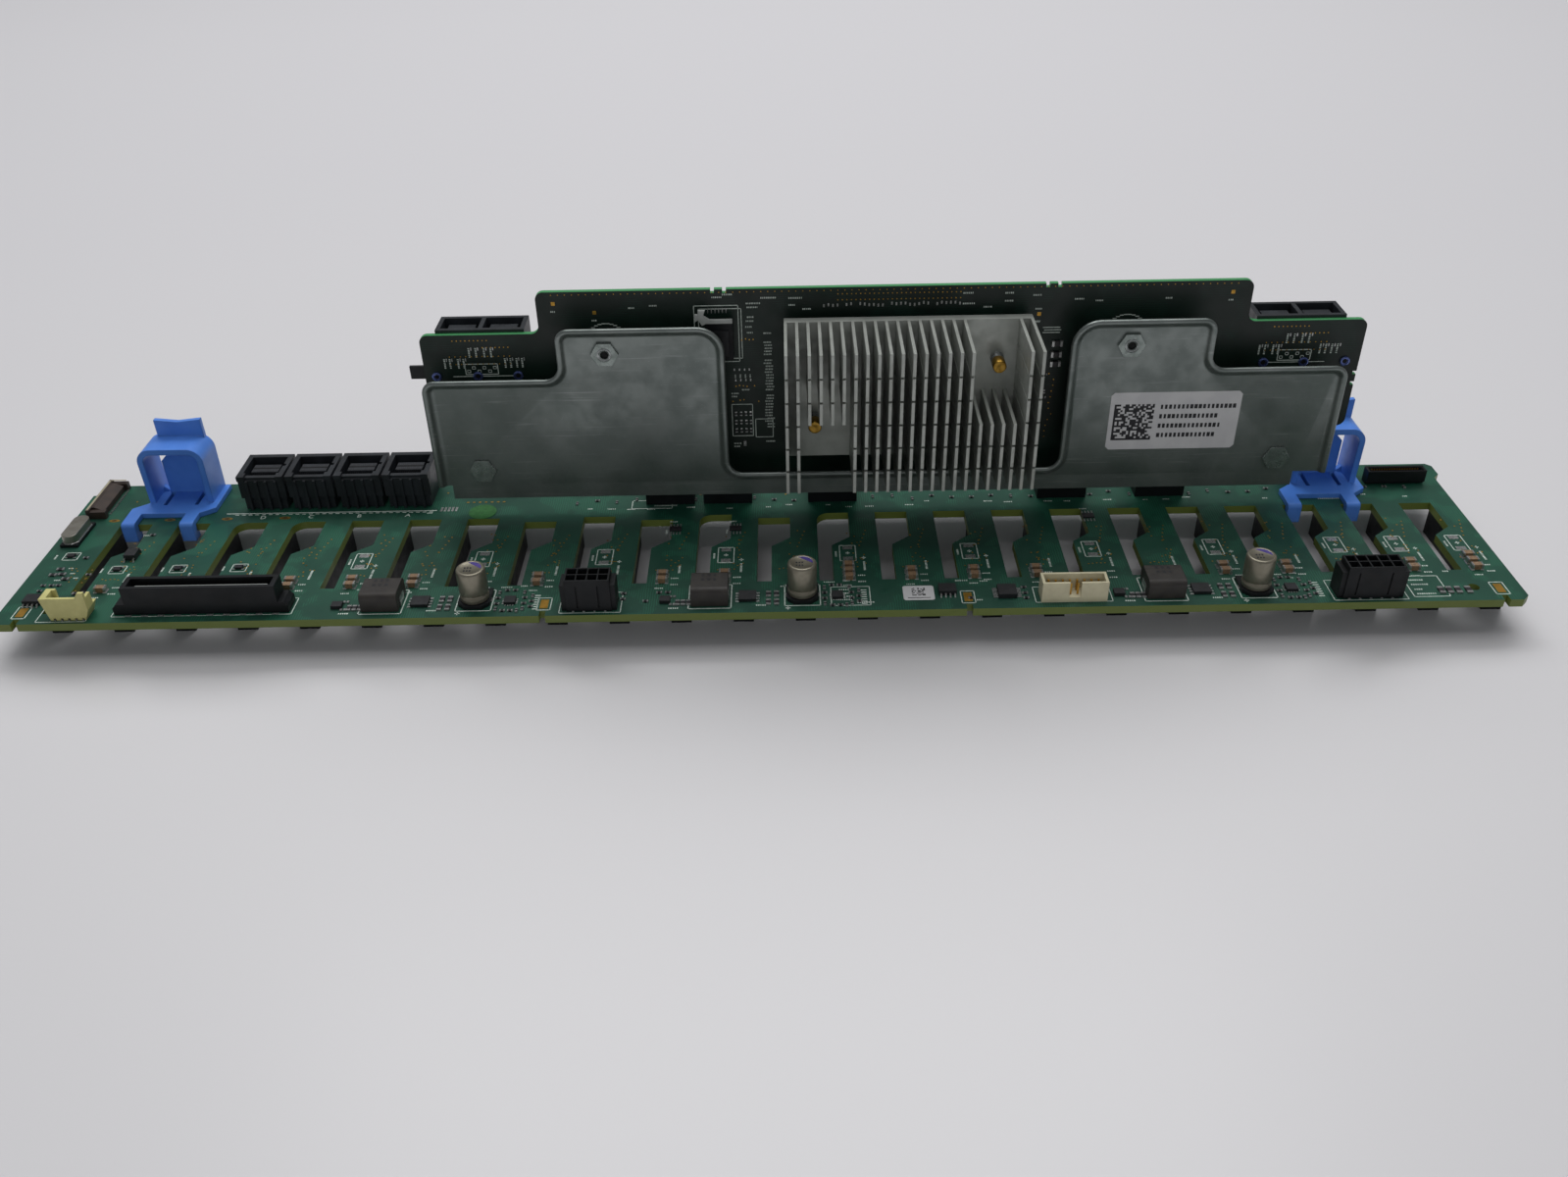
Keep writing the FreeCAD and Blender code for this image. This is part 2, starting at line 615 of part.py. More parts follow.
def make_backplane():
    """Main board with its notches, ear, air slots and locating holes."""
    body = new_body("backplane", z=S.receptacle_height)
    notches = (LEFT + S.notch_inset, bay_middle(9) + S.notch_left_shift,
               bay_middle(15) + S.notch_right_shift, RIGHT - S.notch_inset)
    corners = [(LEFT + S.board_corner, FRONT)]
    for middle in notches:
        left, right = middle - S.notch_width / 2, middle + S.notch_width / 2
        floor = FRONT + S.notch_depth
        corners += [(left, FRONT), (left, floor), (right, floor), (right, FRONT)]
    ear = REAR - S.ear_length
    corners += [
        (RIGHT - S.board_corner, FRONT), (RIGHT, FRONT + S.board_corner),
        (RIGHT, ear), (RIGHT + S.ear_reach, ear + S.ear_reach),
        (RIGHT + S.ear_reach, REAR - S.ear_bevel), (RIGHT + S.ear_reach - S.ear_bevel, REAR),
        (LEFT + S.rear_step_width, REAR), (LEFT + S.rear_step_width, REAR - S.rear_step_depth),
        (LEFT, REAR - S.rear_step_depth), (LEFT, FRONT + S.board_corner),
    ]
    pad(body, new_sketch(body, "board_outline", outlines=[corners]), S.board_thickness)

    left, front, knee = slot_left(1), FRONT + S.slot_front, SLOT_END - S.slot_wide_length
    slot = [
        (left, front), (left + S.slot_narrow, front), (left + S.slot_narrow, knee - S.slot_rise),
        (left + S.slot_wide, knee), (left + S.slot_wide, SLOT_END), (left, SLOT_END),
    ]
    first = pocket(body, new_sketch(body, "air_slot", outlines=[slot]), S.board_thickness)
    repeat(body, first, "X_Axis", S.bay_pitch * (S.bay_count - 2), S.bay_count - 1)

    fillers = [
        box_corners(slot_left(k) - S.fit_gap, SLOT_END - S.slot_short,
                    slot_left(k) + S.slot_wide + S.fit_gap, SLOT_END + S.fit_gap)
        for k in SHORT_SLOTS
    ]
    pad(body, new_sketch(body, "short_slot_end", outlines=fillers), S.board_thickness)
    rounded = [(slot_left(k), SLOT_END) for k in ROUND_LEFT_SLOTS]
    fillet(body, 2, rounded, S.slot_round)

    spots = (LEFT + S.hole_inset, RIGHT - S.hole_inset)
    holes = [(x, FRONT + S.hole_setback, S.hole_radius) for x in spots]
    pocket(body, new_sketch(body, "locating_holes", circles=holes), S.board_thickness)
    keep(body, "backplane_board")


def make_receptacle(bay):
    """Drive receptacle under one bay: a housing with a mouth below and a blade in the mouth."""
    name = f"receptacle_{bay:02d}"
    x = bay_middle(bay) - S.receptacle_width / 2
    y = REAR - S.receptacle_rear - S.receptacle_length
    mouth_width = S.receptacle_width - 2 * S.receptacle_wall
    mouth_length = S.receptacle_length - 2 * S.receptacle_end
    housing = block(f"{name}_housing", x, y, 0, S.receptacle_width, S.receptacle_length,
                    S.receptacle_height)
    mouth = block(f"{name}_mouth", x + S.receptacle_wall, y + S.receptacle_end, -OVERRUN,
                  mouth_width, mouth_length, S.receptacle_mouth + OVERRUN)
    blade = block(f"{name}_blade", bay_middle(bay) - S.blade_width / 2,
                  y + S.receptacle_end + S.blade_gap, S.blade_recess,
                  S.blade_width, mouth_length - 2 * S.blade_gap, S.receptacle_mouth)
    shell = cut(f"{name}_shell", housing, [mouth])
    keep(fuse(name, [shell, blade]), f"drive_{name}")


# ---- cable ports on the main board ---------------------------------------------------------

def make_cable_port(order, letter):
    """Upright cable port, its origin at the middle of its front edge on the board."""
    middle = bay_middle(3) + S.port_shift + order * S.port_pitch
    body = new_body(f"port_{letter}", middle, REAR - S.port_rear - S.port_depth, DECK)
    half, depth, top = S.port_width / 2, S.port_depth, S.port_height
    rib = S.port_foot / 2
    inner, mouth_rear = half - S.port_wall, depth - S.port_rear_wall

    foot = box_corners(-half + rib, S.port_foot, half - rib, depth)
    pad(body, new_sketch(body, f"foot_{letter}", outlines=[foot]), S.port_foot_height)
    head = box_corners(-half, rib, half, depth)
    sketch = new_sketch(body, f"head_{letter}", level=S.port_foot_height, outlines=[head])
    pad(body, sketch, top - S.port_foot_height)

    lug, back = half - S.port_lug, S.port_rim_back
    lugs = [box_corners(-half, 0, -lug, S.port_front_wall), box_corners(lug, 0, half, S.port_front_wall)]
    sketch = new_sketch(body, f"lugs_{letter}", level=top - 2 * S.port_rim_drop, outlines=lugs)
    pad(body, sketch, 2 * S.port_rim_drop)
    rim = box_corners(-lug, -OVERRUN, lug, back)
    pocket(body, new_sketch(body, f"rim_back_{letter}", level=top - 2 * S.port_rim_drop, outlines=[rim]),
           2 * S.port_rim_drop)
    rim = box_corners(-lug, -OVERRUN, lug, S.port_front_wall)
    pocket(body, new_sketch(body, f"rim_{letter}", level=top - S.port_rim_drop, outlines=[rim]),
           S.port_rim_drop)

    groove_y, step = (S.port_front_wall + mouth_rear) / 2, S.port_groove / 2
    wide = inner + S.port_wall / 2
    mouth = [
        (-inner, S.port_front_wall), (inner, S.port_front_wall),
        (inner, groove_y - step), (wide, groove_y - step), (wide, groove_y + step),
        (inner, groove_y + step), (inner, mouth_rear), (-inner, mouth_rear),
    ]
    floor = top - S.port_mouth
    pocket(body, new_sketch(body, f"mouth_{letter}", level=floor, outlines=[mouth]), S.port_mouth)
    tongue_x, tongue_y = S.port_tongue_x / 2, S.port_tongue_y / 2
    tongue = box_corners(-tongue_x, groove_y - tongue_y, tongue_x, groove_y + tongue_y)
    pad(body, new_sketch(body, f"tongue_{letter}", level=floor, outlines=[tongue]),
        S.port_mouth - S.port_tongue_drop)

    start = -(S.port_ribs - 1) * S.port_rib_pitch / 2
    rib_plan = box_corners(start - S.port_rib_width / 2, 0, start + S.port_rib_width / 2, S.port_foot)
    first = pad(body, new_sketch(body, f"ribs_{letter}", outlines=[rib_plan]), S.port_rib_top)
    repeat(body, first, "X_Axis", (S.port_ribs - 1) * S.port_rib_pitch, S.port_ribs)
    keep(body, f"cable_port_{letter}")


# ---- upright expander board and what it carries --------------------------------------------

LEFT_CLIP, RIGHT_CLIP = 1, 21                # air slots that take the clips' left legs
EXPANDER_Y = REAR - S.expander_front
EXPANDER_BACK = EXPANDER_Y + S.expander_thickness
EXPANDER_LEFT = bay_middle(7) + S.expander_left_shift
EXPANDER_RIGHT = slot_left(RIGHT_CLIP) + S.clip_shift + S.expander_right_shift
SINK_LEFT = bay_middle(13) + S.sink_shift
BRACKET_LEFT = EXPANDER_LEFT + S.bracket_left_inset
BRACKET_RIGHT = EXPANDER_RIGHT - S.bracket_right_inset
TOWER_LEFT = BRACKET_LEFT + S.bracket_low_left
TOWER_RIGHT = BRACKET_RIGHT - S.bracket_low_right
STANDOFFS = [
    (TOWER_LEFT + S.standoff_high_left, S.standoff_high),
    (TOWER_RIGHT - S.standoff_high_right, S.standoff_high),
    (BRACKET_LEFT + S.standoff_low_left, S.standoff_low),
    (BRACKET_RIGHT - S.standoff_low_right, S.standoff_low),
]
REAR_PORTS = (
    ("left", EXPANDER_LEFT + S.rear_port_inset), ("right", EXPANDER_RIGHT - S.rear_port_inset_right),
)


def tab_notches(middle, edge):
    """Two small notches in a top edge, from left to right."""
    corners = []
    for side in (-1, 1):
        centre = middle + side * S.tab_span / 2
        left, right = centre - S.tab_notch_width / 2, centre + S.tab_notch_width / 2
        floor = edge - S.tab_notch_depth
        corners += [(left, edge), (left, floor), (right, floor), (right, edge)]
    return corners


def make_expander_board():
    """Upright board: a high middle, two shoulders and a cut-out over the right clip."""
    body = new_body("expander", y=EXPANDER_Y, z=DECK)
    left, right = EXPANDER_LEFT, EXPANDER_RIGHT
    step_left, step_right = left + S.expander_step_left, right - S.expander_step_right
    side_notches = [(edge, level) for level, edge in tab_notches(S.tab_side, right)]
    outline = [
        (left, S.expander_bottom), (right - S.expander_recess, S.expander_bottom),
        (right - S.expander_recess, S.expander_recess_top), (right, S.expander_recess_top),
        *side_notches,
        (right, S.expander_shoulder), (step_right, S.expander_shoulder), (step_right, S.expander_top),
        *reversed(tab_notches(bay_middle(17) + S.tab_right_shift, S.expander_top)),
        *reversed(tab_notches(bay_middle(12) + S.tab_left_shift, S.expander_top)),
        (step_left, S.expander_top), (step_left, S.expander_shoulder), (left, S.expander_shoulder),
    ]
    pad(body, new_sketch(body, "expander_outline", "XZ_Plane", outlines=[outline]), S.expander_thickness)
    rounded = [
        (left, S.expander_shoulder), (step_left, S.expander_shoulder), (step_left, S.expander_top),
        (step_right, S.expander_top), (step_right, S.expander_shoulder), (right, S.expander_shoulder),
        (right, S.expander_recess_top),
    ]
    fillet(body, 1, rounded, S.expander_corner)
    keep(body, "expander_board")


def make_rear_port(side, middle):
    """Double cable port on the rear face of the expander board."""
    name = f"expander_port_{side}"
    width, height = S.rear_port_width, S.rear_port_height
    top = DECK + S.expander_shoulder + S.rear_port_rise
    housing = block(f"{name}_housing", middle - width / 2, EXPANDER_BACK, top - height,
                    width, S.rear_port_depth, height)
    mouth_width = (width - 3 * S.rear_port_wall) / 2
    mouth_depth = S.rear_port_depth - 2 * S.rear_port_wall
    mouths, tongues = [], []
    for k in (0, 1):
        left = middle - width / 2 + S.rear_port_wall + k * (mouth_width + S.rear_port_wall)
        mouths.append(block(f"{name}_mouth_{k + 1}", left, EXPANDER_BACK + S.rear_port_wall,
                            top - S.rear_port_mouth, mouth_width, mouth_depth,
                            S.rear_port_mouth + OVERRUN))
        tongues.append(block(f"{name}_tongue_{k + 1}", left + S.rear_port_tongue_gap,
                             EXPANDER_BACK + (S.rear_port_depth - S.rear_port_tongue) / 2,
                             top - S.rear_port_mouth, mouth_width - 2 * S.rear_port_tongue_gap,
                             S.rear_port_tongue, S.rear_port_mouth - S.rear_port_wall))
    shell = cut(f"{name}_shell", housing, mouths)
    keep(fuse(name, [shell, *tongues]), name)


# ---- controller and heatsink ----------------------------------------------------------------

SINK_BACK = EXPANDER_Y - S.chip_thickness
SINK_FRONT = SINK_BACK - S.sink_base
FIN_PITCH = (S.sink_width - S.fin_thickness) / (S.fin_count - 1)
ROW_PITCH = S.sink_height / S.saw_rows


def fin_left(fin):
    """Left side of a fin, counted from 1."""
    return SINK_LEFT + (size_of(fin) - 1) * FIN_PITCH


def relief(first):
    """X range of the gap left by the fins taken out, from the fin before to the fin after."""
    return fin_left(first - 1) + S.fin_thickness, fin_left(first + S.relief_fins)


RELIEF_HEIGHT = ROW_PITCH * S.relief_rows + S.saw_width / 2


def make_heatsink():
    """Finned heatsink: base plate, straight fins, cross cuts and a relief at each push pin."""
    body = new_body("sink", z=DECK)
    top = S.sink_bottom + S.sink_height
    plate = box_corners(SINK_LEFT, S.sink_bottom, SINK_LEFT + S.sink_width, top)
    pad(body, new_sketch(body, "sink_plate", "XZ_Plane", SINK_FRONT, [plate]), S.sink_base)
    fin = box_corners(SINK_LEFT, S.sink_bottom, SINK_LEFT + S.fin_thickness, top)
    tip = SINK_FRONT - S.fin_reach
    first = pad(body, new_sketch(body, "sink_fin", "XZ_Plane", tip, [fin]), S.fin_reach)
    repeat(body, first, "X_Axis", FIN_PITCH * (S.fin_count - 1), S.fin_count)
    low = S.sink_bottom + ROW_PITCH - S.saw_width / 2
    saw = box_corners(SINK_LEFT - OVERRUN, low, SINK_LEFT + S.sink_width + OVERRUN, low + S.saw_width)
    first = pocket(body, new_sketch(body, "sink_saw_cut", "XZ_Plane", tip, [saw]), S.fin_reach)
    repeat(body, first, "Z_Axis", ROW_PITCH * (S.saw_rows - 2), S.saw_rows - 1)
    left, right = relief(S.relief_low_first)
    lower = box_corners(left, S.sink_bottom - OVERRUN, right, S.sink_bottom + RELIEF_HEIGHT)
    left, right = relief(S.relief_high_first)
    upper = box_corners(left, top - RELIEF_HEIGHT, right, top + OVERRUN)
    pocket(body, new_sketch(body, "sink_relief", "XZ_Plane", tip, [lower, upper]), S.fin_reach)
    keep(body, "heatsink")


def make_controller():
    """Controller package between the expander board and the heatsink."""
    middle_x = SINK_LEFT + S.sink_width / 2
    middle_z = DECK + S.sink_bottom + S.sink_height / 2
    chip = block("controller", middle_x - S.chip_side / 2, SINK_BACK, middle_z - S.chip_side / 2,
                 S.chip_side, S.chip_thickness, S.chip_side)
    keep(chip, "controller_chip")


# ---- steel bracket -------------------------------------------------------------------------

RIM_FRONT = REAR - S.bracket_front
PANEL_FRONT = RIM_FRONT + S.rim_step


def bracket_outline(inset, bottom):
    """Outline of the bracket, drawn in from its rim by inset and cut off at bottom."""
    left, right = BRACKET_LEFT + inset, BRACKET_RIGHT - inset
    tower, shoulder, bar = S.bracket_tower - inset, S.bracket_shoulder - inset, S.bracket_bar - inset
    cut_left = SINK_LEFT - S.bracket_gap_left - inset
    cut_right = SINK_LEFT + S.sink_width + S.bracket_gap_right + inset
    low_left, low_right = TOWER_LEFT + inset, TOWER_RIGHT - inset
    return [
        (left, bottom), (right, bottom), (right, shoulder), (low_right, shoulder), (low_right, tower),
        (cut_right, tower), (cut_right, bar), (cut_left, bar), (cut_left, tower), (low_left, tower),
        (low_left, shoulder), (left, shoulder),
    ]


def hexagon_corners(x, z, flats):
    """Corners of a hexagon with two of them to the left and right of its middle."""
    reach = flats / 3 ** 0.5
    return [
        (x + reach, z), (x + reach / 2, z + flats / 2), (x - reach / 2, z + flats / 2),
        (x - reach, z), (x - reach / 2, z - flats / 2), (x + reach / 2, z - flats / 2),
    ]


def make_bracket():
    """Pressed steel bracket: a flat panel inside a rim that stands forward all round but below."""
    body = new_body("bracket", z=DECK)
    panel_inset = S.rim_width - S.sheet
    rim = bracket_outline(size_of(0), S.rim_end)
    pad(body, new_sketch(body, "bracket_rim", "XZ_Plane", RIM_FRONT, [rim]), S.sheet)
    tray = bracket_outline(panel_inset, S.bracket_bottom)
    pad(body, new_sketch(body, "bracket_tray", "XZ_Plane", RIM_FRONT, [tray]), S.rim_step + S.sheet)
    hollow = bracket_outline(S.rim_width, S.bracket_bottom - OVERRUN)
    pocket(body, new_sketch(body, "bracket_hollow", "XZ_Plane", RIM_FRONT - OVERRUN, [hollow]),
           S.rim_step + OVERRUN)
    for inset in (size_of(0), panel_inset, S.rim_width):
        corners = bracket_outline(inset, S.bracket_bottom)
        left, right = corners[0][0], corners[1][0]
        tower, shoulder, bar = corners[4][1], corners[2][1], corners[6][1]
        outward = [(right, shoulder), (corners[4][0], tower), (corners[9][0], tower), (left, shoulder)]
        inward = [(corners[3][0], shoulder), (corners[10][0], shoulder),
                  (corners[6][0], bar), (corners[7][0], bar)]
        wide = [(corners[5][0], tower), (corners[8][0], tower)]
        fillet(body, 1, outward, S.bracket_corner - inset)
        fillet(body, 1, inward, S.bracket_corner + inset)
        fillet(body, 1, wide, S.bracket_cut_corner - inset)
    holes = [hexagon_corners(x, z, S.standoff_barrel + 2 * S.fit_gap) for x, z in STANDOFFS]
    pocket(body, new_sketch(body, "bracket_holes", "XZ_Plane", PANEL_FRONT, holes), S.sheet)
    low, high = S.bracket_bottom - OVERRUN, S.rim_end
    notches = [
        box_corners(BRACKET_LEFT, low, BRACKET_LEFT + S.bracket_notch_left, high),
        box_corners(BRACKET_RIGHT - S.bracket_notch_right, low, BRACKET_RIGHT, high),
    ]
    pocket(body, new_sketch(body, "bracket_notches", "XZ_Plane", RIM_FRONT, notches),
           S.rim_step + S.sheet)
    keep(body, "steel_bracket")


def hexagon(name, x, y, z, flats, length):
    """A hexagonal prism along +Y."""
    prism = document.addObject("Part::Prism", name)
    prism.Polygon = 6
    prism.Placement = Placement(Vector(), ALONG_PLUS_Y)
    bind(prism, "Circumradius", flats / 3 ** 0.5)
    bind(prism, "Height", length)
    place(prism, x, y, z)
    return prism


def make_standoffs():
    """Hex standoffs through the bracket to the expander board, the upper two bored from the front."""
    standoffs = []
    for order, (x, z) in enumerate(STANDOFFS, start=1):
        front = PANEL_FRONT - S.standoff_head
        head = hexagon(f"standoff_head_{order}", x, front, DECK + z, S.standoff_flats, S.standoff_head)
        barrel = hexagon(f"standoff_barrel_{order}", x, front, DECK + z, S.standoff_barrel,
                         EXPANDER_Y - front)
        solid = fuse(f"standoff_{order}", [head, barrel])
        if z is S.standoff_high:
            bore = rod(f"standoff_bore_{order}", x, front - OVERRUN, DECK + z, S.standoff_bore,
                       S.standoff_bore_depth + OVERRUN, ALONG_PLUS_Y)
            solid = cut(f"standoff_bored_{order}", solid, [bore])
        standoffs.append(solid)
    keep(group("standoffs", standoffs), "bracket_standoffs")


# ---- cable clips ---------------------------------------------------------------------------

def make_clip(side, slot):
    """Moulded clip: a plate on the board, two legs through air slots, a loop and a finger tab.

    The body's origin is at the left leg, on the board's upper face and at the slots' rear end.
    """
    body = new_body(f"clip_{side}", slot_left(slot) + S.clip_shift, SLOT_END, DECK)
    reach, rear, front = S.clip_reach, S.clip_plate_rear, S.clip_plate_front
    leg, second = S.clip_leg_width, S.bay_pitch
    leg_rear = -S.fit_gap
    leg_front = leg_rear - S.clip_leg_depth
    loop_left = S.clip_loop_offset
    loop_right = loop_left + S.clip_loop_width
    plate = [
        (0, leg_front), (leg, leg_front), (leg, front), (second, front), (second, leg_front),
        (second + leg, leg_front), (second + leg, front), (reach, S.clip_wing), (reach, rear),
        (loop_left, rear), (loop_left, S.clip_loop_front), (0, S.clip_wing),
    ]
    pad(body, new_sketch(body, f"plate_{side}", outlines=[plate]), S.clip_plate)

    depth = S.board_thickness + S.clip_hook
    legs = [box_corners(x, leg_front, x + leg, leg_rear) for x in (size_of(0), second)]
    pad(body, new_sketch(body, f"legs_{side}", level=-depth, outlines=legs), depth)
    barbs = [box_corners(x, leg_front, x + leg, leg_rear + S.clip_barb) for x in (size_of(0), second)]
    pad(body, new_sketch(body, f"barbs_{side}", level=-depth, outlines=barbs), S.clip_hook - S.fit_gap)
    fillet(body, 0, [(leg_front, S.clip_plate)], S.clip_leg_round)

    top, wall, lean = S.clip_loop_height, S.clip_wall, S.clip_loop_lean
    loop_depth = rear - S.clip_loop_front
    outer = [(loop_left + lean, 0), (loop_right - lean, 0), (loop_right, top), (loop_left, top)]
    pad(body, new_sketch(body, f"loop_{side}", "XZ_Plane", S.clip_loop_front, [outer]), loop_depth)
    inner = [
        (loop_left + lean + wall, S.clip_plate), (loop_right - lean - wall, S.clip_plate),
        (loop_right - wall, top - wall), (loop_left + wall, top - wall),
    ]
    pocket(body, new_sketch(body, f"inside_{side}", "XZ_Plane", S.clip_loop_front - OVERRUN, [inner]),
           loop_depth + 2 * OVERRUN)
    fillet(body, 1, [(loop_left, top), (loop_right, top)], S.clip_loop_round)
    fillet(body, 1, [(loop_left + wall, top - wall), (loop_right - wall, top - wall)],
           S.clip_loop_round - wall)

    middle = (loop_left + loop_right) / 2
    grip, half = middle + S.clip_tab_shift, S.clip_tab_width / 2
    crest = top + S.clip_tab_height
    tab = [
        (grip - half, top - wall), (grip + half, top - wall), (grip + half, crest),
        (grip, crest - S.clip_tab_dip), (grip - half, crest),
    ]
    pad(body, new_sketch(body, f"tab_{side}", "XZ_Plane", rear - S.clip_tab_sheet, [tab]),
        S.clip_tab_sheet)

    apart, slit_front = S.clip_slit_spacing / 2, S.clip_slit_front
    lefts = (middle - apart - S.clip_slit, middle + apart)
    slits = [box_corners(x, slit_front, x + S.clip_slit, slit_front + S.clip_slit_length) for x in lefts]
    pocket(body, new_sketch(body, f"slits_{side}", outlines=slits), S.clip_plate)
    half = S.clip_tongue_width / 2
    tongue = [
        (middle - half, 0), (middle + half, 0), (middle + half, S.clip_tongue_height - wall),
        (middle + half - wall, S.clip_tongue_height), (middle - half + wall, S.clip_tongue_height),
        (middle - half, S.clip_tongue_height - wall),
    ]
    level = rear - S.clip_tongue_back - wall
    pad(body, new_sketch(body, f"tongue_{side}", "XZ_Plane", level, [tongue]), wall)
    for end, corner, along in (("a", loop_left + lean + wall, 1), ("b", loop_right - lean - wall, -1)):
        inward = corner + along * S.clip_gusset
        gusset = [(corner, S.clip_plate), (inward, S.clip_plate), (corner, S.clip_plate + S.clip_gusset)]
        sketch = new_sketch(body, f"gusset_{end}_{side}", "XZ_Plane", rear - 2 * wall, [gusset])
        pad(body, sketch, wall)
    keep(body, f"cable_clip_{side}")


# ---- connectors along the front edge -------------------------------------------------------

def make_slot_connector():
    """Long connector: a channel with a contact tongue, on a foot wider than its upper part."""
    left, front = bay_middle(2) + S.slot_body_shift, FRONT + S.slot_body_front
    body = new_body("slot_connector_body", left, front, DECK)
    width, depth, top = S.slot_body_width, S.slot_body_depth, S.slot_body_height
    foot, bevel = S.slot_foot_height, S.slot_foot_bevel
    face = [
        (-S.slot_foot_left, 0), (width + S.slot_foot_right, 0), (width + S.slot_foot_right, foot - bevel),
        (width + S.slot_foot_right - bevel, foot), (width, foot), (width, top), (0, top), (0, foot),
        (bevel - S.slot_foot_left, foot), (-S.slot_foot_left, foot - bevel),
    ]
    pad(body, new_sketch(body, "slot_face", "XZ_Plane", outlines=[face]), depth)
    wall, half = S.slot_wall, S.slot_channel / 2
    channel = box_corners(wall, depth / 2 - half, width - wall, depth / 2 + half)
    floor = top - S.slot_channel_depth
    pocket(body, new_sketch(body, "slot_channel", level=floor, outlines=[channel]), S.slot_channel_depth)
    blade = S.slot_tongue / 2
    tongue = box_corners(2 * wall, depth / 2 - blade, width - 2 * wall, depth / 2 + blade)
    pad(body, new_sketch(body, "slot_tongue", level=floor, outlines=[tongue]),
        S.slot_channel_depth - wall)
    keep(body, "slot_connector")


def make_signal_header():
    """Cream five-way header: an open box with leaning sides and a raised end on its front wall."""
    left, front = bay_middle(1) + S.signal_shift, FRONT + S.signal_front
    body = new_body("signal_body", left, front, DECK)
    width, top, wall, lean = S.signal_width, S.signal_height, S.signal_wall, S.signal_lean
    peak = width - S.signal_peak_width
    box = [(lean, 0), (width - lean, 0), (width, S.signal_elbow), (width, top), (0, top)]
    pad(body, new_sketch(body, "signal_box", "XZ_Plane", outlines=[box]), S.signal_depth)
    end = [
        (peak - 2 * wall, top - wall), (width - wall, top - wall), (width, top),
        (width, top + S.signal_peak), (peak, top + S.signal_peak),
    ]
    pad(body, new_sketch(body, "signal_peak", "XZ_Plane", outlines=[end]), wall)
    hollow = box_corners(2 * wall, wall, width - wall, S.signal_depth - wall)
    pocket(body, new_sketch(body, "signal_hollow", level=2 * wall, outlines=[hollow]),
           top + S.signal_peak)
    rear = box_corners(wall * 3, S.signal_depth - 2 * wall, width + OVERRUN, S.signal_depth + OVERRUN)
    pocket(body, new_sketch(body, "signal_rear", level=top / 2, outlines=[rear]), top)
    start = lean + wall
    notch = box_corners(start, 0, start + S.signal_lead, S.signal_lead)
    first = pocket(body, new_sketch(body, "signal_leads", "XZ_Plane", outlines=[notch]), wall)
    repeat(body, first, "X_Axis", S.signal_lead_pitch * (S.signal_pins - 1), S.signal_pins)
    keep(body, "signal_header")


def make_power_header(name, left, ways):
    """Power header: two rows of square cells in a block between wings, a latch ramp behind."""
    cells = int(float(ways))
    y, pitch, wall = FRONT + S.power_front, S.cell_pitch, S.cell_wall
    width = pitch * (ways - 1) + S.cell_size + 2 * wall
    depth = pitch + S.cell_size + 2 * wall
    inner = left + S.power_wing
    body = block(f"{name}_body", inner, y, DECK, width, depth, S.power_height)
    wings = block(f"{name}_wings", left, y + S.power_wing_back, DECK, width + 2 * S.power_wing,
                  depth - S.power_wing_back, S.power_wing_height)
    ramp = block(f"{name}_ramp", inner + (width - S.latch_width) / 2, y + depth,
                 DECK + S.power_height / 2, S.latch_width, S.latch_reach, S.power_height / 4)
    openings = [
        block(f"{name}_cell_{row + 1}_{column + 1}", inner + wall + column * pitch,
              y + wall + row * pitch, DECK + S.power_height - S.cell_depth,
              S.cell_size, S.cell_size, S.cell_depth + OVERRUN)
        for row in (0, 1) for column in range(cells)
    ]
    openings += [
        block(f"{name}_groove_{column}", inner + column * pitch, y - OVERRUN,
              DECK + S.power_groove_foot, S.power_groove, S.power_groove + OVERRUN,
              S.power_wing_height - S.power_groove_foot)
        for column in (1, cells - 1)
    ]
    keep(cut(f"{name}_solid", fuse(f"{name}_outer", [body, wings, ramp]), openings), name)


def make_box_header():
    """Shrouded header with a key notch in its front wall, and its two rows of square pins."""
    x, y, wall = bay_middle(17) + S.shroud_shift, FRONT + S.shroud_front, S.shroud_wall
    box = block("shroud_box", x, y, DECK, S.shroud_width, S.shroud_depth, S.shroud_height)
    hollow = block("shroud_hollow", x + wall, y + wall, DECK + S.shroud_floor,
                   S.shroud_width - 2 * wall, S.shroud_depth - 2 * wall, S.shroud_height)
    key = block("shroud_key_cut", x + (S.shroud_width - S.shroud_key) / 2, y - OVERRUN,
                DECK + S.shroud_floor, S.shroud_key, wall + OVERRUN, S.shroud_height)
    keep(cut("box_header_solid", box, [hollow, key]), "box_header")
    start = x + (S.shroud_width - (S.shroud_pins - 1) * S.shroud_pitch - S.shroud_pin) / 2
    row_y = y + (S.shroud_depth - S.shroud_pitch - S.shroud_pin) / 2
    pins = [
        block(f"shroud_pin_{row + 1}_{column + 1}", start + column * S.shroud_pitch,
              row_y + row * S.shroud_pitch, DECK + S.shroud_floor, S.shroud_pin, S.shroud_pin,
              S.shroud_pin_top - S.shroud_floor)
        for row in (0, 1) for column in range(int(float(S.shroud_pins)))
    ]
    keep(group("shroud_pin_rows", pins), "box_header_pins")


# ---- regulators ----------------------------------------------------------------------------

REGULATORS = (
    bay_middle(8) + S.regulator_a, bay_middle(13) + S.regulator_b, bay_middle(20) + S.regulator_c,
)


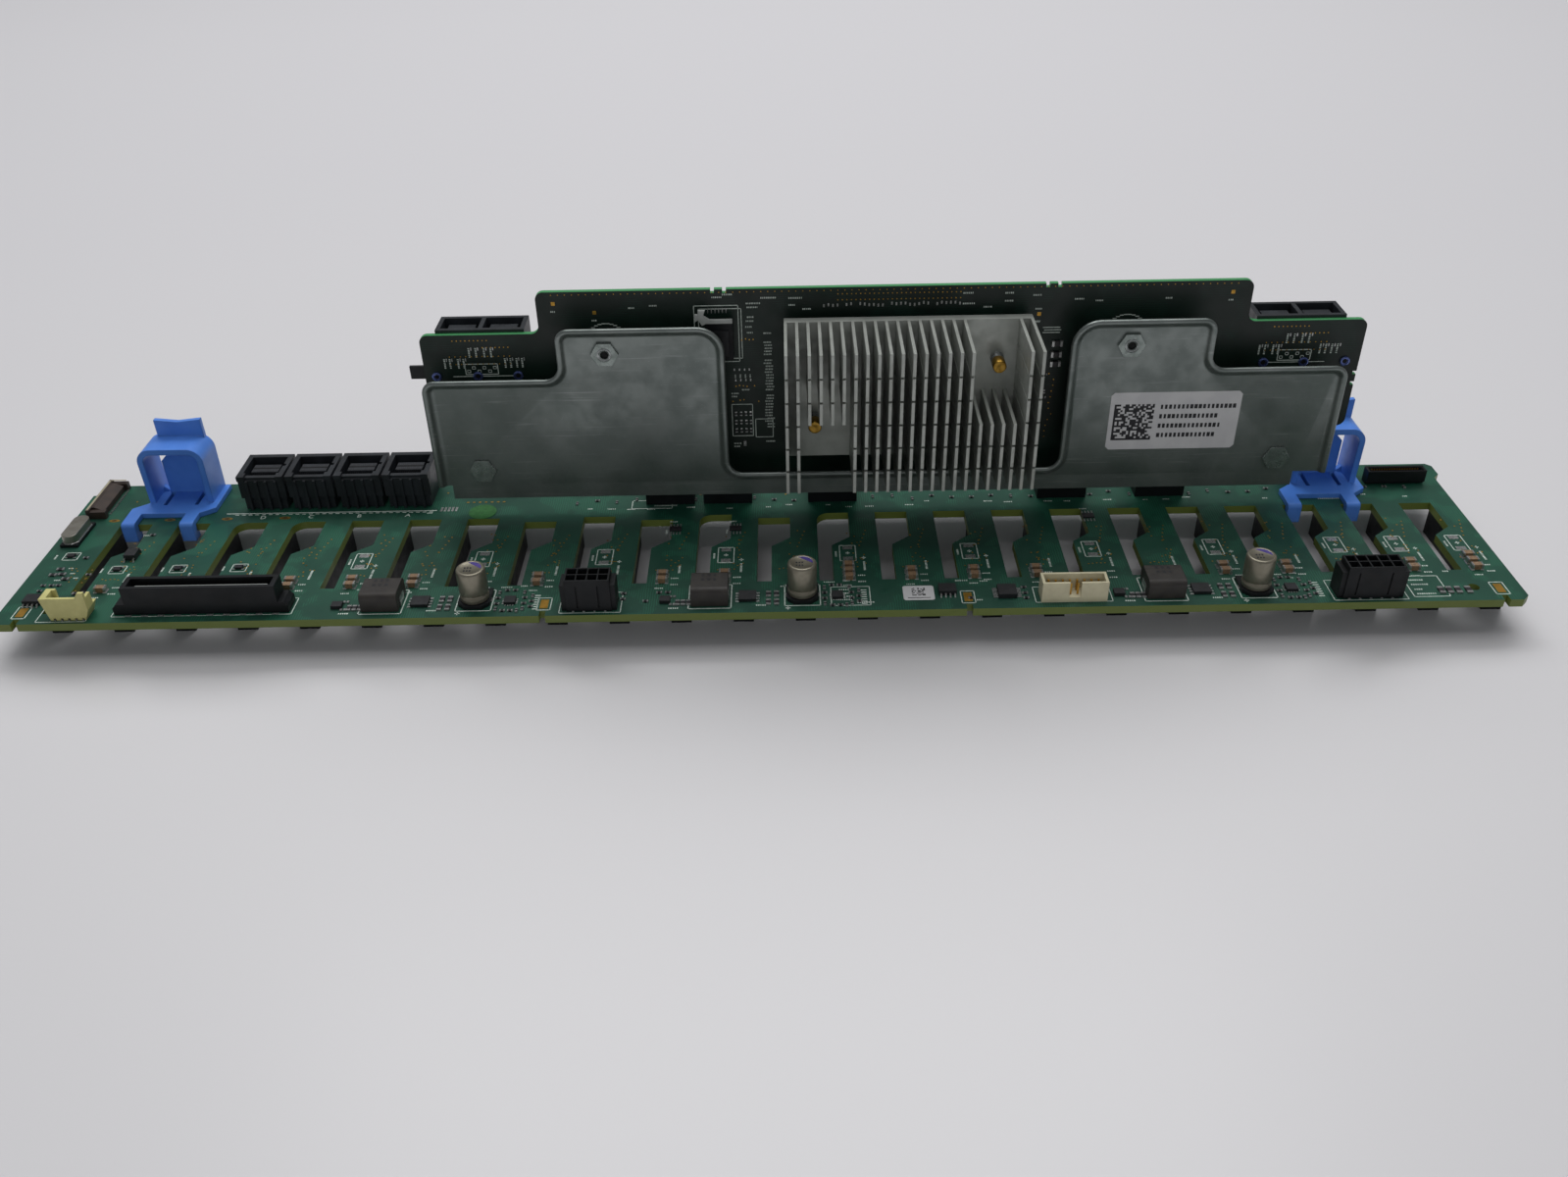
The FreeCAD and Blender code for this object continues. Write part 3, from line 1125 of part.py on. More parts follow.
def make_inductors():
    """Three moulded inductors, each with a rounded front edge."""
    inductors = []
    for order, middle in enumerate(REGULATORS, start=1):
        body = new_body(f"inductor_{order}", middle + S.inductor_offset, FRONT, DECK)
        front, rear = S.inductor_front, S.inductor_front + S.inductor_depth
        side = box_corners(front, 0, rear, S.inductor_height)
        sketch = new_sketch(body, f"inductor_side_{order}", "YZ_Plane", -S.inductor_width / 2, [side])
        pad(body, sketch, S.inductor_width)
        fillet(body, 0, [(front, S.inductor_height), (rear, S.inductor_height)], S.inductor_round)
        inductors.append(body)
    keep(group("inductor_set", inductors), "power_inductors")


def make_capacitors():
    """Three can capacitors, each on a square base with two cut corners."""
    bases, cans = [], []
    for order, middle in enumerate(REGULATORS, start=1):
        base = new_body(f"capacitor_base_{order}", middle, FRONT + S.can_middle, DECK)
        half, corner = S.can_base / 2, S.can_base_cut
        outline = [(-half + corner, -half), (half - corner, -half), (half, -half + corner),
                   (half, half), (-half, half), (-half, -half + corner)]
        pad(base, new_sketch(base, f"capacitor_square_{order}", outlines=[outline]), S.can_base_height)
        bases.append(base)
        body = new_body(f"can_{order}", middle, FRONT + S.can_middle, DECK + S.can_base_height)
        radius, bevel, top = S.can_radius, S.can_bevel, S.can_height
        profile = [(0, 0), (radius, 0), (radius, top - bevel), (radius - bevel, top), (0, top)]
        sketch = new_sketch(body, f"can_profile_{order}", "XZ_Plane", outlines=[profile])
        turned = body.newObject("PartDesign::Revolution", f"can_turned_{order}")
        turned.Profile = sketch
        turned.ReferenceAxis = (sketch, ["V_Axis"])
        turned.Angle = 360
        document.recompute()
        cans.append(body)
    keep(group("can_set", cans), "capacitor_cans")
    keep(group("capacitor_base_set", bases), "capacitor_bases")


# ---- chips ---------------------------------------------------------------------------------

# other chips: bay, place from the bay's middle and from the front edge, length, depth, height
CHIPS = (
    (15, 4.1, 8.7, 4.9, 3.9, 1.5),
    (16, 2.8, 7.3, 5.2, 5.2, 1.5),
    (1, 14.8, 34.2, 3.4, 4.2, 1.8),
    (1, -4.4, 11.1, 4.9, 3.9, 1.5),
)
# chips of a regulator: place from its capacitor and from the front edge, length, depth, height
REGULATOR_CHIPS = (
    (-15.5, 7.3, 5.0, 4.4, 1.0),
    (9.9, 7.3, 3.2, 3.2, 0.9),
    (-38.8, 6.1, 3.0, 2.6, 1.1),
)


def make_chips():
    """Integrated circuits on the main board, each a block on the board's upper face."""
    spots = [(bay_middle(bay) + shift, *rest) for bay, shift, *rest in CHIPS]
    for middle in REGULATORS:
        spots += [(middle + shift, *rest) for shift, *rest in REGULATOR_CHIPS]
    chips = [
        block(f"chip_{order}", x - length / 2, FRONT + y - depth / 2, DECK, length, depth, height)
        for order, (x, y, length, depth, height) in enumerate(spots, start=1)
    ]
    keep(group("chip_set", chips), "board_chips")


# bays with a stack of chip capacitors, and how many each stack has
STACKS = {
    1: 1, 4: 2, 5: 2, 6: 2, 8: 2, 10: 2, 11: 2, 13: 3, 14: 2, 15: 2, 16: 2, 19: 2, 20: 2, 22: 2, 23: 3,
}


def make_ceramics():
    """Chip capacitors: a short stack beside most bays, between the front edge and the slots."""
    ceramics = []
    for bay, count in STACKS.items():
        for order in range(count):
            x = bay_middle(bay) + S.ceramic_offset - S.ceramic_length / 2
            y = FRONT + S.ceramic_front + order * S.ceramic_pitch - S.ceramic_width / 2
            ceramics.append(block(f"ceramic_{bay}_{order + 1}", x, y, DECK, S.ceramic_length,
                                  S.ceramic_width, S.ceramic_height))
    keep(group("ceramic_set", ceramics), "chip_capacitors")


# ---- links between the two boards ----------------------------------------------------------

LINKS = ((10, 12.5), (12, -5.45), (13, 9.3), (17, 9.05), (19, 3.65))     # bay, place from its middle


def make_links():
    """Board-to-board links: open headers on the main board, sockets behind the expander board."""
    headers, sockets = [], []
    y, wall = EXPANDER_BACK - S.link_wall - S.fit_gap, S.link_wall
    for order, (bay, shift) in enumerate(LINKS, start=1):
        x = bay_middle(bay) + shift - S.link_width / 2
        box = block(f"link_box_{order}", x, y, DECK, S.link_width, S.link_depth, S.link_height)
        hollow = block(f"link_hollow_{order}", x + wall, y + wall, DECK + S.link_floor,
                       S.link_width - 2 * wall, S.link_depth - 2 * wall, S.link_height)
        headers.append(cut(f"link_header_{order}", box, [hollow]))
        inner = wall + S.fit_gap
        sockets.append(block(f"link_socket_{order}", x + inner, EXPANDER_BACK,
                             DECK + S.link_floor + S.fit_gap, S.link_width - 2 * inner,
                             S.link_depth - 2 * inner, S.link_socket_top - S.link_floor - S.fit_gap))
    keep(group("link_header_set", headers), "link_headers")
    keep(group("link_socket_set", sockets), "link_sockets")


# ---- small parts at the corners and on the expander board ----------------------------------

def make_ribbon_connector():
    """Low ribbon connector along the left edge: a sloped housing, two lugs and a dark flap."""
    x, y = LEFT + S.ribbon_inset, REAR - S.ribbon_rear - S.ribbon_length
    body = new_body("ribbon_body", x, y, DECK)
    width, top, flap = S.ribbon_width, S.ribbon_height, S.ribbon_flap
    section = [(0, 0), (width, 0), (width, S.ribbon_lip), (S.ribbon_spine, top - flap),
               (S.ribbon_spine, top), (0, top)]
    pad(body, new_sketch(body, "ribbon_section", "XZ_Plane", outlines=[section]), S.ribbon_length)
    lug = box_corners(0, 0, width + S.ribbon_lip, S.ribbon_lug)
    ends = [lug, [(a, b + S.ribbon_length - S.ribbon_lug) for a, b in lug]]
    pad(body, new_sketch(body, "ribbon_lugs", outlines=ends), S.ribbon_lug_height)
    keep(body, "ribbon_connector")

    cover = new_body("ribbon_cover", x, y + S.ribbon_lug + S.fit_gap, DECK)
    slope = [(width, S.ribbon_lip), (width, S.ribbon_lip + flap), (S.ribbon_spine + flap, top),
             (S.ribbon_spine, top), (S.ribbon_spine, top - flap)]
    length = S.ribbon_length - 2 * (S.ribbon_lug + S.fit_gap)
    pad(cover, new_sketch(cover, "ribbon_slope", "XZ_Plane", outlines=[slope]), length)
    keep(cover, "ribbon_flap")


def make_sideband_connector():
    """Connector in the rear right corner: a head with a slot, standing forward of its foot."""
    width, depth, top = S.sideband_width, S.sideband_depth, S.sideband_height
    body = new_body("sideband", RIGHT - S.sideband_inset, REAR - S.sideband_rear - depth, DECK)
    side = [
        (S.sideband_foot, 0), (depth, 0), (depth, top), (0, top), (0, S.sideband_foot_height),
        (S.sideband_foot, S.sideband_foot_height),
    ]
    pad(body, new_sketch(body, "sideband_side", "YZ_Plane", outlines=[side]), width)
    wall, rear = S.sideband_wall, depth - S.sideband_wall
    slot = box_corners(wall, rear - S.sideband_slot, width - wall, rear)
    pocket(body, new_sketch(body, "sideband_slot", level=top - S.sideband_slot_depth, outlines=[slot]),
           S.sideband_slot_depth)
    keep(body, "sideband_connector")


def make_crystal():
    """Oblong crystal can with round ends on an insulating base, along the left edge."""
    half, length = S.crystal_width / 2, S.crystal_length
    x, y = LEFT + S.crystal_inset + half, REAR - S.crystal_rear - length
    body = new_body("crystal", x, y, DECK + S.crystal_base)
    plan = box_corners(-half, 0, half, length)
    pad(body, new_sketch(body, "crystal_plan", outlines=[plan]), S.crystal_height - S.crystal_base)
    fillet(body, 2, [(a, b) for a in (-half, half) for b in (0, length)], half - S.fit_gap)
    keep(body, "timing_crystal")
    margin = S.crystal_base_margin
    base = block("crystal_seat", x - half - margin, y - margin, DECK, S.crystal_width + 2 * margin,
                 length + 2 * margin, S.crystal_base)
    keep(base, "crystal_base")


def make_memory_socket():
    """Small socket on the expander board, with an angled latch over its upper left corner."""
    x, z = bay_middle(12) + S.memory_shift, DECK + S.memory_bottom
    base = block("memory_base", x, EXPANDER_Y - S.memory_depth, z, S.memory_width, S.memory_depth,
                 S.memory_height)
    keep(base, "memory_socket")
    front = EXPANDER_Y - S.memory_depth - S.memory_latch
    body = new_body("latch", x, front, z + S.memory_height)
    bar, arm = S.memory_bar, S.memory_arm
    plate = [
        (0, 0), (S.memory_width, 0), (S.memory_width, bar), (bar, bar), (-bar / 2, 2 * bar),
        (0, arm), (-arm / 2, arm), (-arm / 2, arm - bar), (-arm * 0.75, arm - bar), (-arm * 0.75, bar / 2),
        (-arm / 2, bar), (-arm / 4, -bar / 2),
    ]
    pad(body, new_sketch(body, "latch_plate", "XZ_Plane", outlines=[plate]), S.memory_latch)
    keep(body, "memory_latch")


make_backplane()
for bay in range(1, int(float(S.bay_count)) + 1):
    make_receptacle(bay)
for order, letter in enumerate("dcba"[:int(float(S.port_count))]):
    make_cable_port(order, letter)
make_expander_board()
for side, middle in REAR_PORTS:
    make_rear_port(side, middle)
make_heatsink()
make_controller()
make_bracket()
make_standoffs()
make_clip("left", LEFT_CLIP)
make_clip("right", RIGHT_CLIP)
make_slot_connector()
make_signal_header()
make_power_header("power_header_8", bay_middle(9) + S.power_a_shift, S.power_a_ways)
make_power_header("power_header_10", bay_middle(21) + S.power_b_shift, S.power_b_ways)
make_box_header()
make_inductors()
make_capacitors()
make_chips()
make_ceramics()
make_links()
make_ribbon_connector()
make_sideband_connector()
make_crystal()
make_memory_socket()
document.recompute()

for item in document.Objects:
    if "Invalid" in item.State or "Error" in item.State:
        raise RuntimeError(f"{item.Label} failed: {item.State}")
for item in NODES:
    if item.Shape.isNull() or not item.Shape.isValid():
        raise RuntimeError(f"{item.Label} has no valid shape")

os.makedirs("parts", exist_ok=True)
for item in NODES:
    item.Shape.exportStep(f"parts/{item.Label}.step")
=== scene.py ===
"""Looks of a drive backplane board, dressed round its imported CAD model.

The frame gives the solids in metres. Sizes here are in millimetres, and one function turns them to
metres when a mesh is made. Places on the main board are written as (x from the board's middle, y back
from its front edge, height above its upper face), and places on the upright board as (x from the main
board's middle, height above the main board's upper face, distance in front of the upright board).
"""
import logging
import math
from dataclasses import dataclass, field
from enum import Enum
from typing import Iterable, Sequence

import bpy
import numpy as np
from mathutils import Matrix, Vector


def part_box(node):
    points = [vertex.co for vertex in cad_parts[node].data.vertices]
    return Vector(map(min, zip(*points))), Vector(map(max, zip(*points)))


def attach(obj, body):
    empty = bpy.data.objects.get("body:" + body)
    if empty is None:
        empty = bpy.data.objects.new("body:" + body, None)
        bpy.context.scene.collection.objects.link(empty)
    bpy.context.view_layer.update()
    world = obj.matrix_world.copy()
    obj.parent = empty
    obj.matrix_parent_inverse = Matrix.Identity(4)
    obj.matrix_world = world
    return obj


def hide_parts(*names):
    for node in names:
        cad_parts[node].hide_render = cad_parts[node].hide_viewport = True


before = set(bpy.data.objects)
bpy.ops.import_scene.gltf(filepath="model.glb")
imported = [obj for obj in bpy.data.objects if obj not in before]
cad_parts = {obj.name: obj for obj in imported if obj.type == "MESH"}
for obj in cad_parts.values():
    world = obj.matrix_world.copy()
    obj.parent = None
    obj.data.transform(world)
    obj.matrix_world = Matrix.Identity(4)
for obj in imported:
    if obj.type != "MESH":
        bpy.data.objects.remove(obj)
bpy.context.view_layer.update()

LOG = logging.getLogger("backplane")
MM = 0.001
BODY = "root"
Point = tuple[float, float, float]
Spot = tuple[float, float]
Spots = tuple[Spot, ...]
Box = tuple[float, ...]
Profile = Sequence[Spot]
BAYS = 24

# heights of thin things on a board, drawn thicker than real so that they show
INK_HEIGHT = 0.035
GOLD_HEIGHT = 0.05
PAD_HEIGHT = 0.08
TONER_HEIGHT = 0.02
PART_HEIGHT = 0.45                                  # body of a chip resistor

SLAB = ((0.0, 0.0), (0.0, 0.82), (0.06, 1.0))       # upright walls, small rounded upper edge
BEVEL_SAMPLES = 6
PATCH_RANGE = (0.35, 0.68)                          # noise values over which a patch comes in
GLOSS_RANGE = (0.3, 0.7)                            # noise values over which the roughness rises


# ---- shader nodes and colours ---------------------------------------------------------------


def linear(code: str) -> tuple[float, float, float, float]:
    """Turn an sRGB hex colour to linear values.

    Args:
        code: Six hex digits.

    Returns:
        Red, green, blue and alpha for a shader socket.
    """
    parts = np.array([int(code[i:i + 2], 16) for i in (0, 2, 4)]) / 255
    low = parts / 12.92
    high = ((parts + 0.055) / 1.055) ** 2.4
    return (*np.where(parts <= 0.04045, low, high).tolist(), 1.0)


def add_node(tree: bpy.types.NodeTree, kind: str, values: dict | None = None,
             **settings: object) -> bpy.types.Node:
    """Add one node with its settings, its socket values and the links into it.

    Args:
        tree: The material's node tree.
        kind: The node's type name without the leading "ShaderNode".
        values: Socket name or number to a value, or to the output socket that feeds it.
        settings: The node's own properties.

    Returns:
        The new node.
    """
    node = tree.nodes.new("ShaderNode" + kind)
    for key, value in settings.items():
        setattr(node, key, value)
    for key, value in (values or {}).items():
        if isinstance(value, bpy.types.NodeSocket):
            tree.links.new(value, node.inputs[key])
        else:
            node.inputs[key].default_value = value
    return node


def blend_colours(tree: bpy.types.NodeTree, share: "bpy.types.NodeSocket | float",
                  first: "bpy.types.NodeSocket | Sequence[float]",
                  second: "bpy.types.NodeSocket | Sequence[float]") -> bpy.types.NodeSocket:
    """Mix two colours by a share from 0 to 1.

    Args:
        tree: The material's node tree.
        share: Socket or number that picks the second colour.
        first: Socket or linear colour at share 0.
        second: Socket or linear colour at share 1.

    Returns:
        The mixed colour's socket.
    """
    mix = add_node(tree, "Mix", {0: share, 6: first, 7: second}, data_type="RGBA")
    return mix.outputs[2]


def threshold(tree: bpy.types.NodeTree, value: bpy.types.NodeSocket, low: float, high: float,
              start: float = 0.0, end: float = 1.0) -> bpy.types.NodeSocket:
    """Map a value's range onto another, smoothly and with its ends held."""
    node = add_node(tree, "MapRange", {0: value, 1: low, 2: high, 3: start, 4: end},
                    interpolation_type="SMOOTHSTEP")
    return node.outputs[0]


@dataclass(frozen=True)
class Finish:
    """A surface finish: two close colours in soft patches, gloss that varies, and a fine grain.

    Attributes:
        name: The material's name.
        colour: Main colour, sRGB hex.
        patch: Colour of the soft patches, sRGB hex.
        rough: Lowest and highest roughness.
        metallic: 1 for bare metal, 0 for everything else.
        patch_mm: Size of a patch.
        grain_mm: Size of a grain of the fine relief.
        relief_mm: Height of that relief.
        soft_edge_mm: Radius at which sharp edges catch the light.
        ior: Index of refraction of a surface that isn't metal.
    """

    name: str
    colour: str
    patch: str
    rough: tuple[float, float] = (0.4, 0.5)
    metallic: float = 0.0
    patch_mm: float = 6.0
    grain_mm: float = 0.5
    relief_mm: float = 0.01
    soft_edge_mm: float = 0.0
    ior: float = 1.5

    def coordinates(self, tree: bpy.types.NodeTree) -> bpy.types.NodeSocket:
        """Object coordinates in millimetres."""
        place = add_node(tree, "TexCoord").outputs["Object"]
        return add_node(tree, "Mapping", {"Vector": place, "Scale": (1000, 1000, 1000)}).outputs[0]

    def noise(self, tree: bpy.types.NodeTree, place: bpy.types.NodeSocket, size_mm: float,
              detail: float = 3.0) -> bpy.types.NodeSocket:
        """Cloudy noise whose blobs are about size_mm across."""
        values = {"Vector": place, "Scale": 1 / size_mm, "Detail": detail}
        return add_node(tree, "TexNoise", values).outputs[0]

    def base_colour(self, tree: bpy.types.NodeTree, place: bpy.types.NodeSocket) -> bpy.types.NodeSocket:
        """Colour over the surface: the main colour with soft patches."""
        share = threshold(tree, self.noise(tree, place, self.patch_mm), *PATCH_RANGE)
        return blend_colours(tree, share, linear(self.colour), linear(self.patch))

    def relief(self, tree: bpy.types.NodeTree, place: bpy.types.NodeSocket) -> bpy.types.NodeSocket:
        """Height of the fine relief, from 0 to 1."""
        return self.noise(tree, place, self.grain_mm, 2.0)

    def make(self) -> bpy.types.Material:
        """Build the material once, and give the same one after that.

        Returns:
            The material.
        """
        known = bpy.data.materials.get(self.name)
        if known:
            return known
        material = bpy.data.materials.new(self.name)
        material.use_nodes = True
        tree = material.node_tree
        shader = tree.nodes["Principled BSDF"]
        place = self.coordinates(tree)
        tree.links.new(self.base_colour(tree, place), shader.inputs["Base Color"])
        gloss = threshold(tree, self.noise(tree, place, self.patch_mm / 2), *GLOSS_RANGE, *self.rough)
        tree.links.new(gloss, shader.inputs["Roughness"])
        shader.inputs["Metallic"].default_value = self.metallic
        if not self.metallic:
            shader.inputs["IOR"].default_value = self.ior
        values = {"Height": self.relief(tree, place), "Distance": self.relief_mm * MM, "Strength": 1.0}
        if self.soft_edge_mm:
            rounded = add_node(tree, "Bevel", {"Radius": self.soft_edge_mm * MM}, samples=BEVEL_SAMPLES)
            values["Normal"] = rounded.outputs[0]
        tree.links.new(add_node(tree, "Bump", values).outputs[0], shader.inputs["Normal"])
        return material


@dataclass(frozen=True)
class SolderMask(Finish):
    """Epoxy solder mask over copper on a glass laminate: a satin green face and a bare cut edge.

    The mask shows the copper under it as slightly lighter green, in tracks and in poured areas. The cut
    edge shows the laminate and its layers; on the upright board these colours are lighter, painted light
    that passes through the laminate.

    Attributes:
        copper: Mask over copper, sRGB hex.
        resin_and_glow: Cut edge, sRGB hex; on the upright board lighter, painted light through the laminate.
        ply_and_glow: The layers in the cut edge, sRGB hex; lighter the same way on the upright board.
        face: Axis that the masked faces look along.
        ply_mm: Thickness of a layer.
        track_mm: Width of a track.
        pour_mm: Size of a poured area.
        copper_share: How much of the copper shows.
    """

    copper: str = "2F7A5C"
    resin_and_glow: str = "6F7A34"
    ply_and_glow: str = "4C5C2C"
    face: str = "Z"
    ply_mm: float = 0.45
    track_mm: float = 1.1
    pour_mm: float = 9.0
    copper_share: float = 0.35

    def base_colour(self, tree: bpy.types.NodeTree, place: bpy.types.NodeSocket) -> bpy.types.NodeSocket:
        """Mask with copper showing through on the faces, layered resin on the cut edges.

        Args:
            tree: The material's node tree.
            place: Object coordinates in millimetres.

        Returns:
            The colour's socket.
        """
        wander = self.noise(tree, place, self.pour_mm, 4.0)
        values = {"Vector": place, "Scale": 1 / (2 * self.track_mm), "Distortion": 2.5, "Detail": 1.0}
        bands = add_node(tree, "TexWave", values, bands_direction="X" if self.face == "Z" else "Z")
        tracks = threshold(tree, bands.outputs[1], 0.62, 0.8)
        pours = threshold(tree, wander, 0.5, 0.56)
        share = add_node(tree, "Math", {0: tracks, 1: pours}, operation="MULTIPLY").outputs[0]
        weak = add_node(tree, "Math", {0: share, 1: self.copper_share}, operation="MULTIPLY").outputs[0]
        cloudy = super().base_colour(tree, place)
        mask = blend_colours(tree, weak, cloudy, linear(self.copper))
        values = {"Vector": place, "Scale": 1 / (2 * math.pi * self.ply_mm) * 3, "Distortion": 0.8}
        layers = add_node(tree, "TexWave", values, bands_direction=self.face)
        edge = blend_colours(tree, layers.outputs[1], linear(self.resin_and_glow), linear(self.ply_and_glow))
        normal = add_node(tree, "SeparateXYZ", {0: add_node(tree, "TexCoord").outputs["Normal"]})
        across = normal.outputs["XYZ".index(self.face)]
        flat = add_node(tree, "Math", {0: across}, operation="ABSOLUTE").outputs[0]
        return blend_colours(tree, threshold(tree, flat, 0.4, 0.7), edge, mask)


@dataclass(frozen=True)
class ZincPlate(Finish):
    """Zinc-plated sheet steel: soft grey cloud, small bright crystals and faint long rub marks.

    Attributes:
        scratch: Crystals and rub marks, sRGB hex.
        crystals_per_mm: How many crystals stand in a millimetre.
        crystal_share: How much of a crystal's colour shows.
        rub_share: How much of a rub mark's colour shows.
    """

    scratch: str = "C9CCCD"
    crystals_per_mm: float = 0.9
    crystal_share: float = 0.4
    rub_share: float = 0.3

    def base_colour(self, tree: bpy.types.NodeTree, place: bpy.types.NodeSocket) -> bpy.types.NodeSocket:
        """Cloudy zinc, then the crystals, then marks from noise drawn out along X.

        Args:
            tree: The material's node tree.
            place: Object coordinates in millimetres.

        Returns:
            The colour's socket.
        """
        cloudy, bright = super().base_colour(tree, place), linear(self.scratch)
        cells = add_node(tree, "TexVoronoi", {"Vector": place, "Scale": self.crystals_per_mm}, feature="F1")
        crystal = threshold(tree, cells.outputs["Distance"], 0.12, 0.02)
        weight = add_node(tree, "Math", {0: crystal, 1: self.crystal_share}, operation="MULTIPLY").outputs[0]
        flecked = blend_colours(tree, weight, cloudy, bright)
        drawn = add_node(tree, "Mapping", {"Vector": place, "Scale": (0.05, 0.6, 1.4)}).outputs[0]
        rubbed = threshold(tree, self.noise(tree, drawn, 1.0, 6.0), 0.6, 0.75)
        weight = add_node(tree, "Math", {0: rubbed, 1: self.rub_share}, operation="MULTIPLY").outputs[0]
        return blend_colours(tree, weight, flecked, bright)


@dataclass(frozen=True)
class Ground(Finish):
    """Pale matt ground that keeps the object's shadow, with a painted fall of light away from the middle.

    Attributes:
        near_mm: Distance from the middle at which the painted fall of light starts.
        reach_mm: Distance at which it ends.
    """

    near_mm: float = 60.0
    reach_mm: float = 520.0

    def base_colour(self, tree: bpy.types.NodeTree, place: bpy.types.NodeSocket) -> bpy.types.NodeSocket:
        """Painted fall of light: a little darker from the middle outwards."""
        far = add_node(tree, "VectorMath", {0: place, 1: (0.0, 0.0, 0.0)}, operation="DISTANCE")
        share = threshold(tree, far.outputs["Value"], self.near_mm, self.reach_mm)
        return blend_colours(tree, share, linear(self.colour), linear(self.patch))


